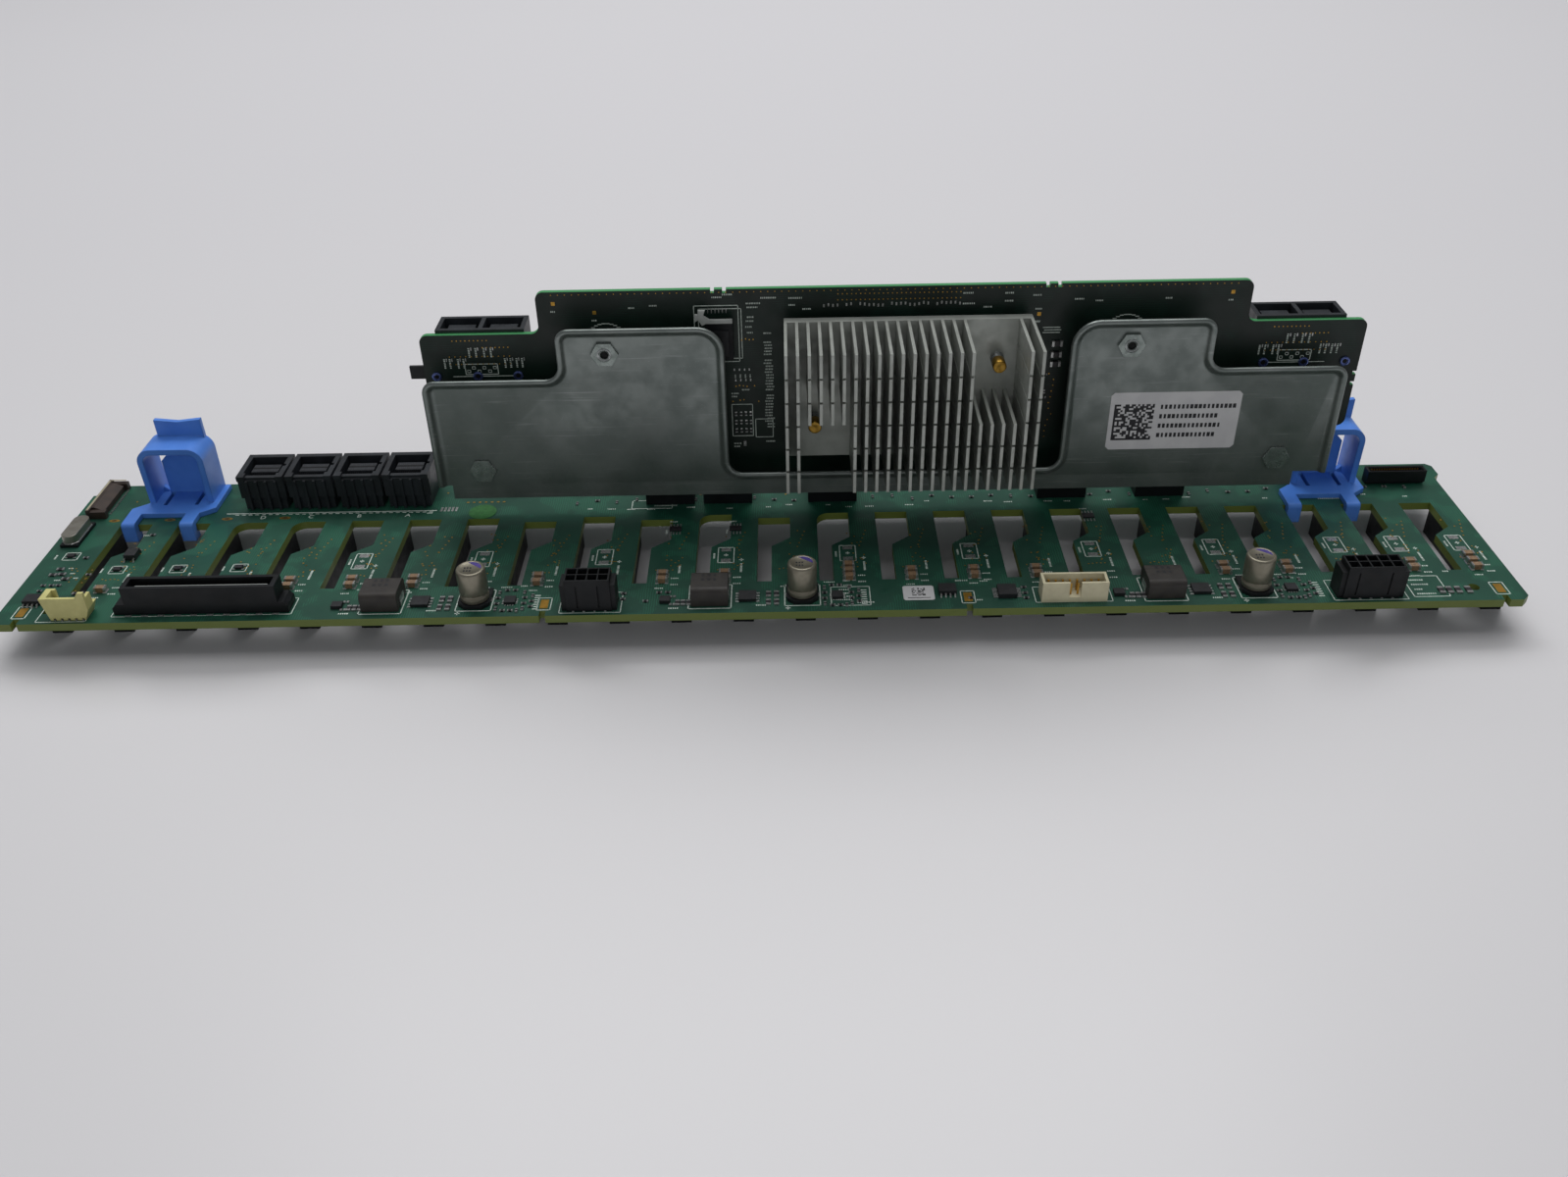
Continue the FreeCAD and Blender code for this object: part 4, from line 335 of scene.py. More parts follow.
class Look(Enum):
    """Every finish on the object, by what the surface is."""

    MAIN_BOARD = SolderMask("main_board_mask", "133D30", "174435", (0.4, 0.52), patch_mm=14, grain_mm=0.35,
                            relief_mm=0.006, ior=1.45)
    # the upright board's cut-edge colours are light green: painted light that passes through the laminate
    UPRIGHT_BOARD = SolderMask("upright_board_mask", "07150F", "0A1C15", (0.4, 0.5), patch_mm=14,
                               grain_mm=0.35, relief_mm=0.006, copper="12352A", resin_and_glow="3F8C57", ply_and_glow="2F7543",
                               face="Y")
    BLACK_NYLON = Finish("black_moulded_nylon", "0B0D0F", "101316", (0.46, 0.58), grain_mm=0.25,
                         relief_mm=0.008, soft_edge_mm=0.22, ior=1.4)
    CHARCOAL_NYLON = Finish("charcoal_moulded_nylon", "1A1D21", "22262B", (0.42, 0.54), grain_mm=0.25,
                            relief_mm=0.008, soft_edge_mm=0.2)
    BLUE_NYLON = Finish("blue_moulded_nylon", "4C7FD0", "4476C8", (0.34, 0.46), patch_mm=9, grain_mm=0.6,
                        relief_mm=0.006, soft_edge_mm=0.5)
    CREAM_NYLON = Finish("cream_moulded_nylon", "BDB87A", "B2AD72", (0.42, 0.52),
                         patch_mm=4, soft_edge_mm=0.3)
    IVORY_NYLON = Finish("ivory_moulded_nylon", "C6C0A2", "BCB598", (0.42, 0.52),
                         patch_mm=4, soft_edge_mm=0.2)
    BEIGE_LCP = Finish("beige_moulded_polymer", "9A937C", "8A846F", (0.45, 0.55),
                       patch_mm=3, soft_edge_mm=0.2)
    BROWN_LCP = Finish("brown_moulded_polymer", "2D2521", "382D27", (0.4, 0.5),
                       patch_mm=3, soft_edge_mm=0.2)
    # grey moulded polymer of latches and tongue edges; on the side-band mouth it is a painted highlight
    GREY_POLYMER_AND_HIGHLIGHT = Finish("grey_polymer_and_painted_highlight", "9FA3A0", "8F9390", (0.42, 0.52),
                        patch_mm=3, soft_edge_mm=0.2)
    ZINC = ZincPlate("zinc_plated_steel", "888F8C", "79817E", (0.3, 0.44), 0.82, patch_mm=10, grain_mm=0.3,
                     relief_mm=0.01)
    BRIGHT_ZINC = Finish("bright_zinc_plate", "B4B8B8", "9BA09F", (0.24, 0.36), 0.9, patch_mm=2,
                         soft_edge_mm=0.25)
    HEX_STEEL = Finish("zinc_plated_hex_steel", "98A19D", "848D89", (0.26, 0.36), 0.84, patch_mm=2,
                       soft_edge_mm=0.25)
    ANODISED = Finish("clear_anodised_aluminium", "ABAFA9", "9DA19B", (0.34, 0.46), 0.55, patch_mm=7,
                      grain_mm=0.2, relief_mm=0.006, soft_edge_mm=0.15)
    BRASS = Finish("turned_brass", "A8853C", "8F6F2E", (0.28, 0.4), 0.95, patch_mm=1, relief_mm=0.004)
    GOLD = Finish("immersion_gold", "C79A45", "B58A3B", (0.28, 0.4), 0.85, patch_mm=2, relief_mm=0.003)
    TIN = Finish("tinned_copper", "BDBEBC", "A3A5A4", (0.24, 0.38), 0.85, patch_mm=0.8, relief_mm=0.01)
    PEWTER = Finish("dull_tinned_contacts", "4C4D51", "3E3F43", (0.4, 0.5), 0.6, patch_mm=0.8, relief_mm=0.01)
    CAN = Finish("drawn_aluminium_can", "948F80", "878273", (0.3, 0.4), 0.75, patch_mm=3, relief_mm=0.003)
    CRYSTAL = Finish("nickel_plated_can", "A8A49A", "969288", (0.28, 0.4), 0.85, patch_mm=2, relief_mm=0.003,
                     soft_edge_mm=0.4)
    EPOXY = Finish("black_moulding_epoxy", "17181A", "1F2023", (0.48, 0.6), patch_mm=2, grain_mm=0.12,
                   relief_mm=0.006, soft_edge_mm=0.1)
    CORE = Finish("pressed_iron_core", "2B2826", "33302C", (0.5, 0.62), patch_mm=3, grain_mm=0.16,
                  relief_mm=0.02, soft_edge_mm=0.3)
    CERAMIC = Finish("fired_ceramic", "80684F", "6E5843", (0.35, 0.5), patch_mm=0.7, grain_mm=0.2,
                     relief_mm=0.01, soft_edge_mm=0.1)
    RESISTOR = Finish("resistor_glaze", "1C1B1C", "27262A", (0.3, 0.45), patch_mm=0.6, grain_mm=0.2)
    INK = Finish("white_board_ink", "C6CFC8", "A9B5AD", (0.55, 0.65), patch_mm=0.8, grain_mm=0.2)
    PAPER = Finish("white_label_paper", "C7C7C8", "BFBFC1", (0.5, 0.6), patch_mm=5, grain_mm=0.15,
                   relief_mm=0.003)
    TONER = Finish("black_label_ink", "1D1D20", "2A2A2E", (0.5, 0.6), patch_mm=0.5)
    GREEN_DOT = Finish("green_paper_dot", "265F2A", "205424", (0.5, 0.6), patch_mm=1.5)
    PURPLE = Finish("violet_can_ink", "4B3F86", "40367A", (0.35, 0.45), patch_mm=1.5)
    BLUE_RING = Finish("blue_tinted_steel", "6C7AB0", "4E5C96", (0.2, 0.3), 0.8, patch_mm=0.5)
    # painted shade: near-black laid flat in holes, bores, pegs and slits, where only shade shows
    HOLLOW_SHADE = Finish("shaded_hollow", "050607", "08090B", (0.7, 0.8), patch_mm=2)
    # the second colour, a shade darker, is painted fall of light towards the edges
    GROUND = Ground("pale_ground", "C9C8CA", "C6C5C8", (0.28, 0.28), patch_mm=90, grain_mm=2.0, relief_mm=0.0)

    @property
    def material(self) -> bpy.types.Material:
        """The finish as a material."""
        return self.value.make()


# ---- meshes ---------------------------------------------------------------------------------


class Facing(Enum):
    """Which way a local plane looks. Its rows are local x, y and height in the frame's axes."""

    UP = ((1, 0, 0), (0, 1, 0), (0, 0, 1))
    DOWN = ((1, 0, 0), (0, -1, 0), (0, 0, -1))
    FRONT = ((1, 0, 0), (0, 0, 1), (0, -1, 0))
    REAR = ((-1, 0, 0), (0, 0, 1), (0, 1, 0))


def link(name: str, data: bpy.types.ID) -> bpy.types.Object:
    """Put a mesh, a lamp or a camera in the scene as an object."""
    item = bpy.data.objects.new(name, data)
    bpy.context.collection.objects.link(item)
    return item


def circle(corners: int) -> np.ndarray:
    """Points (corners, 2) at equal angles round a circle of radius 1."""
    angle = np.arange(corners) * 2 * math.pi / corners
    return np.column_stack([np.cos(angle), np.sin(angle)])


@dataclass(frozen=True)
class Plane:
    """A place to draw on: its local zero point in millimetres, and which way it looks."""

    zero: Point
    facing: Facing = Facing.UP

    def to_frame(self, points: np.ndarray) -> np.ndarray:
        """Local points to the frame's axes: the zero point plus each coordinate along its local axis."""
        return points @ np.array(self.facing.value, float) + np.array(self.zero)


@dataclass
class Form:
    """Corners and faces gathered for one piece, all worked out as arrays."""

    plane: Plane
    points: list[np.ndarray] = field(default_factory=list)
    faces: list[np.ndarray] = field(default_factory=list)
    size: int = 0

    def add(self, points: np.ndarray, faces: Iterable[np.ndarray]) -> "Form":
        """Add local points and the faces between them.

        Args:
            points: Array whose last axis is local x, y and height.
            faces: Arrays (faces, corners) of point numbers, counted from this call's first point.

        Returns:
            This form.
        """
        points = points.reshape(-1, 3)
        self.points.append(self.plane.to_frame(points))
        self.faces += [np.asarray(block) + self.size for block in faces]
        self.size += len(points)
        return self

    def stacks(self, rings: np.ndarray) -> "Form":
        """Closed solids from stacked rings.

        Args:
            rings: Array (solids, rings, corners, 3), each ring anticlockwise seen from above and each
                above the last. Walls join ring to ring, and the first and last rings are closed flat.

        Returns:
            This form.
        """
        count, levels, corners, _ = rings.shape
        number = np.arange(count * levels * corners).reshape(count, levels, corners)
        low, high = number[:, :-1], number[:, 1:]
        walls = np.stack([low, np.roll(low, -1, 2), np.roll(high, -1, 2), high], -1).reshape(-1, 4)
        return self.add(rings, [walls, number[:, 0, ::-1], number[:, -1]])

    def crates(self, boxes: Iterable[Sequence[float]], profile: Profile = ((0, 0), (0, 1)),
               corner: float = 0.0) -> "Form":
        """Box-like solids whose walls follow a profile.

        Each box's outline is drawn in by the profile's inset at the profile's share of the height, and its
        corners are cut by corner. The ring's corners are centre plus or minus half the size.

        Args:
            boxes: (x, y, base, length, depth, height) of each, x and y its middle.
            profile: (inset, share of the height) from the bottom up.
            corner: Cut at the outline's corners.

        Returns:
            This form.
        """
        data = np.array(list(boxes), float).reshape(-1, 6)
        if not len(data):
            return self
        signs = np.array([(-1, -1), (1, -1), (1, 1), (-1, 1)], float)
        inset = np.array([p[0] for p in profile])[None, :, None, None]
        share = np.array([p[1] for p in profile])[None, :, None]
        half = data[:, None, None, 3:5] / 2 - inset
        ring = signs[None, None] * half
        if corner:
            ring = np.stack([signs * half - np.array([(0, -1), (1, 0), (0, 1), (-1, 0)]) * corner,
                             signs * half + np.array([(1, 0), (0, 1), (-1, 0), (0, -1)]) * corner], 3)
            ring = ring.reshape(len(data), len(profile), 8, 2)
        x = ring[..., 0] + data[:, None, None, 0]
        y = ring[..., 1] + data[:, None, None, 1]
        z = np.broadcast_to(data[:, None, None, 2] + data[:, None, None, 5] * share, x.shape)
        return self.stacks(np.stack([x, y, z], -1))

    def rounds(self, centres: Iterable[Sequence[float]], profile: Profile, segments: int = 16) -> "Form":
        """Turned solids: a profile of (radius, height) carried round each centre.

        Args:
            centres: (x, y, base) of each.
            profile: (radius, height above the base) from the bottom up.
            segments: Corners of each ring.

        Returns:
            This form.
        """
        data = np.array(list(centres), float).reshape(-1, 3)
        if not len(data):
            return self
        radius = np.array([p[0] for p in profile])[:, None]
        level = np.array([p[1] for p in profile])[:, None]
        turn = circle(segments)
        ring = np.stack([radius * turn[:, 0], radius * turn[:, 1], level + 0 * turn[:, 0]], -1)
        return self.stacks(data[:, None, None, :] + ring[None])

    def outlines(self, loops: Iterable[np.ndarray], base: float, height: float) -> "Form":
        """Flat solids from outlines, their walls in a tall band and a short one.

        Args:
            loops: Each an array (corners, 2), anticlockwise seen from above.
            base: Height of the lower face.
            height: Thickness.

        Returns:
            This form.
        """
        for loop in loops:
            levels = (base, base + height * 0.8, base + height)
            rings = [np.column_stack([loop, np.full(len(loop), level)]) for level in levels]
            self.stacks(np.array(rings)[None])
        return self

    def strips(self, section: Profile, starts: Iterable[Point], width: float, flip: bool = False) -> "Form":
        """Bent strips, such as leads: a section in (y, height) carried along x by width.

        Args:
            section: Corners of the closed section, anticlockwise seen from +x.
            starts: (x, y, height) of the strip's near side for each copy.
            width: Length of the strip along x.
            flip: Turn the section to face the other way along y.

        Returns:
            This form.
        """
        data = np.array(list(starts), float).reshape(-1, 3)
        shape = np.array(section, float)
        if flip:
            shape = shape[::-1] * np.array([-1, 1])
        ends = np.array([0.0, width])[:, None]
        ring = np.stack([ends + 0 * shape[:, 0], shape[:, 0] + 0 * ends, shape[:, 1] + 0 * ends], -1)
        return self.stacks(data[:, None, None, :] + ring[None])

    def mesh(self, name: str) -> bpy.types.Mesh:
        """Turn the gathered corners and faces to a mesh in metres.

        Args:
            name: The mesh's name.

        Returns:
            The mesh.
        """
        mesh = bpy.data.meshes.new(name)
        faces = [face for block in self.faces for face in block.tolist()]
        mesh.from_pydata((np.concatenate(self.points) * MM).tolist(), [], faces)
        return mesh

    def piece(self, name: str, look: Look, slot: str, smooth: float = 0.0) -> bpy.types.Object:
        """Make the piece and let it ride on the body.

        Args:
            name: The piece's name.
            look: Its finish.
            slot: The record's material slot; not used here.
            smooth: Angle in degrees up to which edges are shaded smooth.

        Returns:
            The object.
        """
        mesh = self.mesh(name)
        mesh.validate()
        if smooth:
            mesh.shade_smooth()
            mesh.set_sharp_from_angle(angle=math.radians(smooth))
        mesh.materials.append(look.material)
        item = link(name, mesh)
        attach(item, BODY)
        return item


@dataclass(frozen=True)
class Layout:
    """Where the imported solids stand, in millimetres.

    Attributes:
        front: Y of the main board's front edge.
        deck: Height of its upper face.
        bays: X of each bay's middle.
        upright: Y of the upright board's front face.
        first_bay: The first bay's middle, left of the main board's middle.
        capacitor_bays: Bay of each power capacitor, and its shift from that bay's middle.
        open_standoffs: X of the two open standoffs, from the main board's middle.
    """

    front: float
    deck: float
    bays: tuple[float, ...]
    upright: float
    first_bay: float = 202.65
    capacitor_bays: tuple[tuple[int, float], ...] = ((8, -3.55), (13, -0.95), (20, 0.95))
    open_standoffs: Spot = (-43.1, 107.6)

    @classmethod
    def read(cls) -> "Layout":
        """Read the board's edges, its upper face and the bays' middles from the frame."""
        low, high = (np.array(corner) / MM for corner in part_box("backplane_board"))
        middles = tuple(
            float(sum(corner[0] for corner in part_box(f"drive_receptacle_{bay:02d}")) / 2 / MM)
            for bay in range(1, BAYS + 1)
        )
        return cls(float(low[1]), float(high[2]), middles, float(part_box("expander_board")[0][1] / MM))

    @property
    def middle(self) -> float:
        """X of the main board's middle."""
        return self.bays[0] + self.first_bay

    @property
    def board(self) -> Plane:
        """The main board's upper face."""
        return Plane((self.middle, self.front, self.deck))

    @property
    def deck_plane(self) -> Plane:
        """The main board's upper face, with the frame's own X and Y."""
        return Plane((0, 0, self.deck))

    @property
    def capacitors(self) -> tuple[float, ...]:
        """Middles of the power capacitors, from the main board's middle."""
        return tuple(self.bay(bay) + shift for bay, shift in self.capacitor_bays)

    @property
    def upright_face(self) -> Plane:
        """The upright board's front face."""
        return Plane((self.middle, self.upright, self.deck), Facing.FRONT)

    def bay(self, number: int) -> float:
        """Middle of a bay from the board's middle, counted from 1 at the left."""
        return self.bays[number - 1] - self.middle


LAYOUT = Layout.read()


def node_box(node: str) -> tuple[np.ndarray, np.ndarray]:
    """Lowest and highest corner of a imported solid, in millimetres."""
    low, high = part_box(node)
    return np.array(low) / MM, np.array(high) / MM


def dress(look: Look, *nodes: str) -> None:
    """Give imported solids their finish.

    Args:
        look: The finish.
        nodes: Names of the solids.
    """
    for node in nodes:
        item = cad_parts[node]
        for socket in item.material_slots:
            socket.material = look.material
        if not item.material_slots:
            item.data.materials.append(look.material)


def frame_of(low: Sequence[float], high: Sequence[float], line: float) -> list[Box]:
    """Four bars that make a rectangle's outline in ink.

    Args:
        low: x and y of its lower left corner.
        high: x and y of its upper right corner.
        line: Width of the line.

    Returns:
        The bars as boxes for Form.crates.
    """
    (x0, y0), (x1, y1) = low, high
    mid_x, mid_y, wide, deep = (x0 + x1) / 2, (y0 + y1) / 2, x1 - x0 + line, y1 - y0 + line
    return [
        (mid_x, y0, 0, wide, line, INK_HEIGHT), (mid_x, y1, 0, wide, line, INK_HEIGHT),
        (x0, mid_y, 0, line, deep, INK_HEIGHT), (x1, mid_y, 0, line, deep, INK_HEIGHT),
    ]


def dashes(random: np.random.Generator, x: float, y: float, count: int, along_y: bool,
           size: float) -> list[Box]:
    """A row of small ink marks that reads as unreadable small print.

    Args:
        random: Seeded source of the marks' widths.
        x: Middle of the first mark.
        y: Middle of the first mark.
        count: Number of marks.
        along_y: Run the row along y.
        size: Height of a mark.

    Returns:
        The marks as boxes for Form.crates.
    """
    widths = random.uniform(0.35, 0.6, count) * size
    places = np.arange(count) * size * 0.85
    if along_y:
        return [(x, y + p, 0, size * 0.8, w, INK_HEIGHT) for p, w in zip(places, widths)]
    return [(x + p, y, 0, w, size * 0.8, INK_HEIGHT) for p, w in zip(places, widths)]


def block_pattern(blocks: np.ndarray, corner: Spot, cell: float, base: float) -> list[Box]:
    """A generic block pattern for a label, one box for each true cell.

    Args:
        blocks: Array (columns, rows) of true and false.
        corner: Middle of the first cell.
        cell: Size of a cell.
        base: Height of the label's face.

    Returns:
        The blocks as boxes for Form.crates.
    """
    left, low = corner
    return [(left + i * cell, low + j * cell, base, cell, cell, TONER_HEIGHT)
            for i, j in zip(*np.nonzero(blocks))]


# ---- surroundings ---------------------------------------------------------------------------


@dataclass(frozen=True)
class Studio:
    """Camera, soft lamps, world and the pale ground.

    The camera's axes are worked out from its turns: forward from yaw and pitch, then right and up turned
    about it by the roll.
    """

    place_mm: Point = (9.22, -347.66, 231.1)
    pitch: float = 34.41
    yaw: float = -0.3585
    roll: float = -1.165
    lens: float = 31.294
    sensor: float = 36.0
    ground_mm: float = 6000.0
    ground_height_mm: float = -0.02
    world_colour: str = "E6E7EA"
    world_strength: float = 0.23

    def camera(self) -> None:
        """Make the camera and set it as the scene's."""
        pitch, yaw, roll = (math.radians(v) for v in (self.pitch, self.yaw, self.roll))
        ahead = Vector((math.sin(yaw) * math.cos(pitch), math.cos(yaw) * math.cos(pitch), -math.sin(pitch)))
        right = ahead.cross(Vector((0, 0, 1))).normalized()
        up = right.cross(ahead)
        turned_right = right * math.cos(roll) + up * math.sin(roll)
        turned_up = up * math.cos(roll) - right * math.sin(roll)
        data = bpy.data.cameras.new("camera")
        data.lens, data.sensor_width = self.lens, self.sensor
        data.clip_start, data.clip_end = 0.01, 20
        camera = link("camera", data)
        turn = Matrix((turned_right, turned_up, -ahead)).transposed().to_4x4()
        camera.matrix_world = Matrix.Translation(Vector(self.place_mm) * MM) @ turn
        bpy.context.scene.camera = camera

    def lamp(self, name: str, place: Point, size: tuple[float, float], watts: float, mirrored: bool) -> None:
        """A soft rectangular lamp that looks at the object.

        Args:
            name: The lamp's name.
            place: Its place in metres.
            size: Width and height in metres.
            watts: Its power.
            mirrored: Whether glossy surfaces mirror it.
        """
        data = bpy.data.lights.new(name, "AREA")
        data.shape, data.size, data.size_y, data.energy = "RECTANGLE", size[0], size[1], watts
        lamp = link(name, data)
        lamp.location = place
        lamp.rotation_euler = (-Vector(place)).to_track_quat("-Z", "Y").to_euler()
        lamp.visible_glossy = mirrored

    def world(self) -> None:
        """A pale even world that fills the shadows."""
        world = bpy.data.worlds.new("world")
        bpy.context.scene.world = world
        world.use_nodes = True
        back = world.node_tree.nodes["Background"]
        back.inputs["Color"].default_value = linear(self.world_colour)
        back.inputs["Strength"].default_value = self.world_strength

    def ground(self) -> None:
        """The ground plane just under the object."""
        reach, height = self.ground_mm / 2 * MM, self.ground_height_mm * MM
        corners = [(x * reach, y * reach, height) for x, y in ((-1, -1), (1, -1), (1, 1), (-1, 1))]
        mesh = bpy.data.meshes.new("ground")
        mesh.from_pydata(corners, [], [(0, 1, 2, 3)])
        mesh.materials.append(Look.GROUND.material)
        link("ground", mesh)

    def build(self) -> None:
        """Make everything round the object."""
        bpy.context.scene.view_settings.view_transform = "Standard"
        self.camera()
        self.world()
        self.ground()
        self.lamp("rear_lamp", (0.0, 1.3, 1.4), (2.4, 0.9), 30, False)
        self.lamp("top_lamp", (0.0, 0.5, 1.8), (1.6, 1.6), 17, True)
        self.lamp("front_lamp", (0.0, -1.55, 0.75), (1.8, 0.6), 5.6, False)


# ---- what a board's face carries ------------------------------------------------------------


@dataclass
class BoardFace:
    """One face of a board: its ink, bare gold, tinned faces and small dark bodies.

    The four lists hold boxes for Form.crates, and each becomes one piece. The shares are a chip part's:
    its width, where its end caps stand and how long they are, each as a share of its length.
    """

    random: np.random.Generator
    ink: list[Box] = field(default_factory=list)
    gold: list[Box] = field(default_factory=list)
    tin: list[Box] = field(default_factory=list)
    bodies: list[Box] = field(default_factory=list)
    part_width: float = 0.55
    cap_place: float = 0.38
    cap_length: float = 0.28
    cap_height: float = 0.48
    gold_corner: float = 0.12

    def write(self, x: float, y: float, count: int, size: float, along_y: bool = False) -> None:
        """Add a row of small ink marks."""
        self.ink += dashes(self.random, x, y, count, along_y, size)

    def bar(self, x: float, y: float, length: float, depth: float) -> None:
        """Add one plain ink bar."""
        self.ink.append((x, y, 0, length, depth, INK_HEIGHT))

    def cross(self, x: float, y: float, reach: float, line: float) -> None:
        """Add two crossed ink bars."""
        self.bar(x, y, reach, line)
        self.bar(x, y, line, reach)

    def via(self, x: float, y: float, size: float) -> None:
        """Add a square gold spot."""
        self.gold.append((x, y, 0, size, size, GOLD_HEIGHT))

    def small_part(self, x: float, y: float, along_y: bool, length: float) -> None:
        """Add a chip resistor or capacitor: a dark body between two tinned ends.

        Args:
            x: Its middle.
            y: Its middle.
            along_y: Stand it along y.
            length: Its length over the ends.
        """
        width = length * self.part_width
        size = (width, length * 0.5) if along_y else (length * 0.5, width)
        self.bodies.append((x, y, 0, *size, PART_HEIGHT))
        for side in (-1, 1):
            shift = side * length * self.cap_place
            self.tin.append((x, y + shift, 0, width, length * self.cap_length, self.cap_height) if along_y
                            else (x + shift, y, 0, length * self.cap_length, width, self.cap_height))

    def make_pieces(self, plane: Plane, name: str, bodies_name: str) -> None:
        """Make one piece of each list.

        Args:
            plane: The face.
            name: First word of the pieces' names.
            bodies_name: Name of the small bodies' piece.
        """
        Form(plane).crates(self.ink).piece(f"{name}_ink", Look.INK, "ceramic")
        Form(plane).crates(self.gold, corner=self.gold_corner).piece(f"{name}_gold", Look.GOLD, "gilded_pins")
        Form(plane).crates(self.tin, SLAB).piece(f"{name}_tin", Look.TIN, "plated_steel")
        Form(plane).crates(self.bodies, SLAB).piece(bodies_name, Look.RESISTOR, "chip_epoxy")
        LOG.info("%s face: %d ink marks, %d tinned faces", name, len(self.ink), len(self.tin))


# ---- main board -----------------------------------------------------------------------------


@dataclass
class MainBoard(BoardFace):
    """The long board: ink, gold, bare footprints and the small parts soldered on it.

    A row of print is (x of its first mark, y, number of marks), and a frame is its two corners.
    """

    random: np.random.Generator = field(default_factory=lambda: np.random.default_rng(7))
    line: float = 0.32
    open_footprints: tuple[int, ...] = (5, 7, 9, 11, 13, 15, 17, 19, 21, 22, 23)    # by bay
    fitted_footprints: tuple[int, ...] = (1, 2, 3)                                  # by bay
    port_letters: str = "DCBA"
    letter_places: tuple[float, ...] = (-155.3, -140.3, -125.2, -110.0)
    ovals_at: tuple[float, ...] = (-201.7, -184.3, -166.4, -148.3)
    oval_row: float = 55.0
    dot_radius: float = 4.3

    # x is from the regulator's capacitor here
    controller_ring: Spots = (
        (6.3, 3.4), (6.3, 6.0), (6.3, 8.8), (6.3, 11.4), (8.4, 12.6), (10.6, 12.6), (13.4, 11.4), (13.9, 8.8),
        (13.9, 6.0), (13.9, 3.4), (8.4, 2.6), (10.6, 2.6), (12.4, 2.6), (16.0, 4.4), (16.0, 7.0), (16.0, 9.6))

    connector_frames: tuple[tuple[Spot, Spot], ...] = (
        ((-181.9, 2.9), (-131.2, 10.8)), ((-202.4, 0.9), (-188.3, 7.4)), ((-55.8, 1.1), (-38.6, 11.0)),
        ((160.6, 1.1), (181.2, 11.0)), ((77.7, 2.5), (99.2, 10.1)))
    text_frames: tuple[tuple[Spot, Spot], ...] = (
        ((20.5, 2.6), (31.5, 11.8)), ((183.2, 2.2), (193.2, 12.4)), ((-40.2, 57.0), (-27.6, 61.8)))
    text_rows: tuple[tuple[float, float, int], ...] = (
        (-189, 46, 5), (-206, 22, 4), (-178, 58, 5), (-104, 56.5, 3), (22, 7, 8), (22.5, 5.4, 7),
        (22.3, 8.6, 6), (23, 10.4, 5), (28, 4.0, 8), (56.5, 14, 6), (61.5, 4.2, 3), (63.4, 13.6, 4),
        (184.6, 5.8, 4),
        (184.6, 8.2, 8), (184.6, 10.4, 7), (184.6, 3.6, 9), (196, 14.6, 3), (174, 60.3, 18), (174, 58.2, 14),
        (174, 56.1, 20), (-30, 60.6, 8), (-33, 58.6, 12))

    small_packages: Spots = ((-25.7, 44.6), (-7.4, 44.3), (100.7, 48.2))
    long_parts: Spots = ((191.6, 5.0), (193.9, 5.0), (196.3, 5.0), (199.2, 5.0))
    marked_parts: Spots = (
        (-207.6, 24.6), (-205.0, 24.9), (-206.6, 27.6), (-203.0, 22.4), (-196.6, 14.6), (-194.0, 14.8))
    lone_parts: Spots = (
        (-201.6, 33.6), (-197.0, 24.4), (-186.2, 46.0), (-38.4, 7.2), (-38.4, 10.0), (-31.9, 6.0),
        (-28.3, 10.2), (-25.8, 10.2), (59.8, 5.0), (75.2, 9.8), (75.2, 7.0), (75.2, 4.6), (-180.3, 8.4))

    def footprint(self, bay: int) -> None:
        """Add an outlined pair of bare pads with a cross between them and another beside them.

        Args:
            bay: The bay it belongs to.
        """
        x, y = LAYOUT.bay(bay) + 12.8, 29.5
        self.ink += frame_of((x - 2.35, y - 4.1), (x + 2.35, y + 4.1), self.line * 0.8)
        self.cross(x, y, 1.3, 0.35)
        self.cross(x + 4.6, y - 2.6, 1.3, 0.3)
        self.tin += [(x, y + side * 2.9, 0, 2.9, 1.7, PAD_HEIGHT) for side in (-1, 1)]
        self.write(x - 3.5, y - 1.6, 5, 0.7, True)

    def fitted(self, x: float, y: float) -> None:
        """Add a small outlined chip with a lead at each corner.

        Args:
            x: Its middle.
            y: Its middle.
        """
        self.ink += frame_of((x - 2.2, y - 2.0), (x + 2.2, y + 2.0), self.line * 0.7)
        self.bodies.append((x, y, 0, 2.2, 1.7, 0.7))
        self.tin += [(x + side * 1.3, y + up * 0.9, 0, 0.9, 0.45, 0.25) for side in (-1, 1) for up in (-1, 1)]
        self.write(x - 4.6, y - 1.2, 4, 0.7, True)

    def bay_marks(self, bay: int) -> None:
        """Add small print and vias that repeat from bay to bay with small differences.

        Args:
            bay: The bay, counted from 1 at the left.
        """
        x = LAYOUT.bay(bay)
        draw = self.random
        self.write(x + 17.4, 20.5, 7, 0.8, True)
        self.write(x + 15.4, 17.6, 4, 0.7)
        self.write(x + 15.4, 14.4, 4, 0.7)
        for dx, y in draw.uniform((-3.6, 24.0), (3.4, 44.0), (7, 2)):
            self.via(x + 15.0 + dx * 0.7, y, 0.5)
        for dx, y in draw.uniform((14.4, 23.5), (18.2, 29.0), (6, 2)):
            self.via(x + dx, y, 0.45)
        row = x + 16.4 + draw.uniform(-0.5, 0.5)
        for order in range(5):
            self.via(row + order * 0.55, 33.5 + order * 2.1, 0.5)
        for order in range(5):
            self.via(x + 10.6 + order * 1.2, 21.8 + draw.uniform(-0.3, 0.3), 0.45)
        self.write(x + 11.0, 12.6, 5, 0.6)

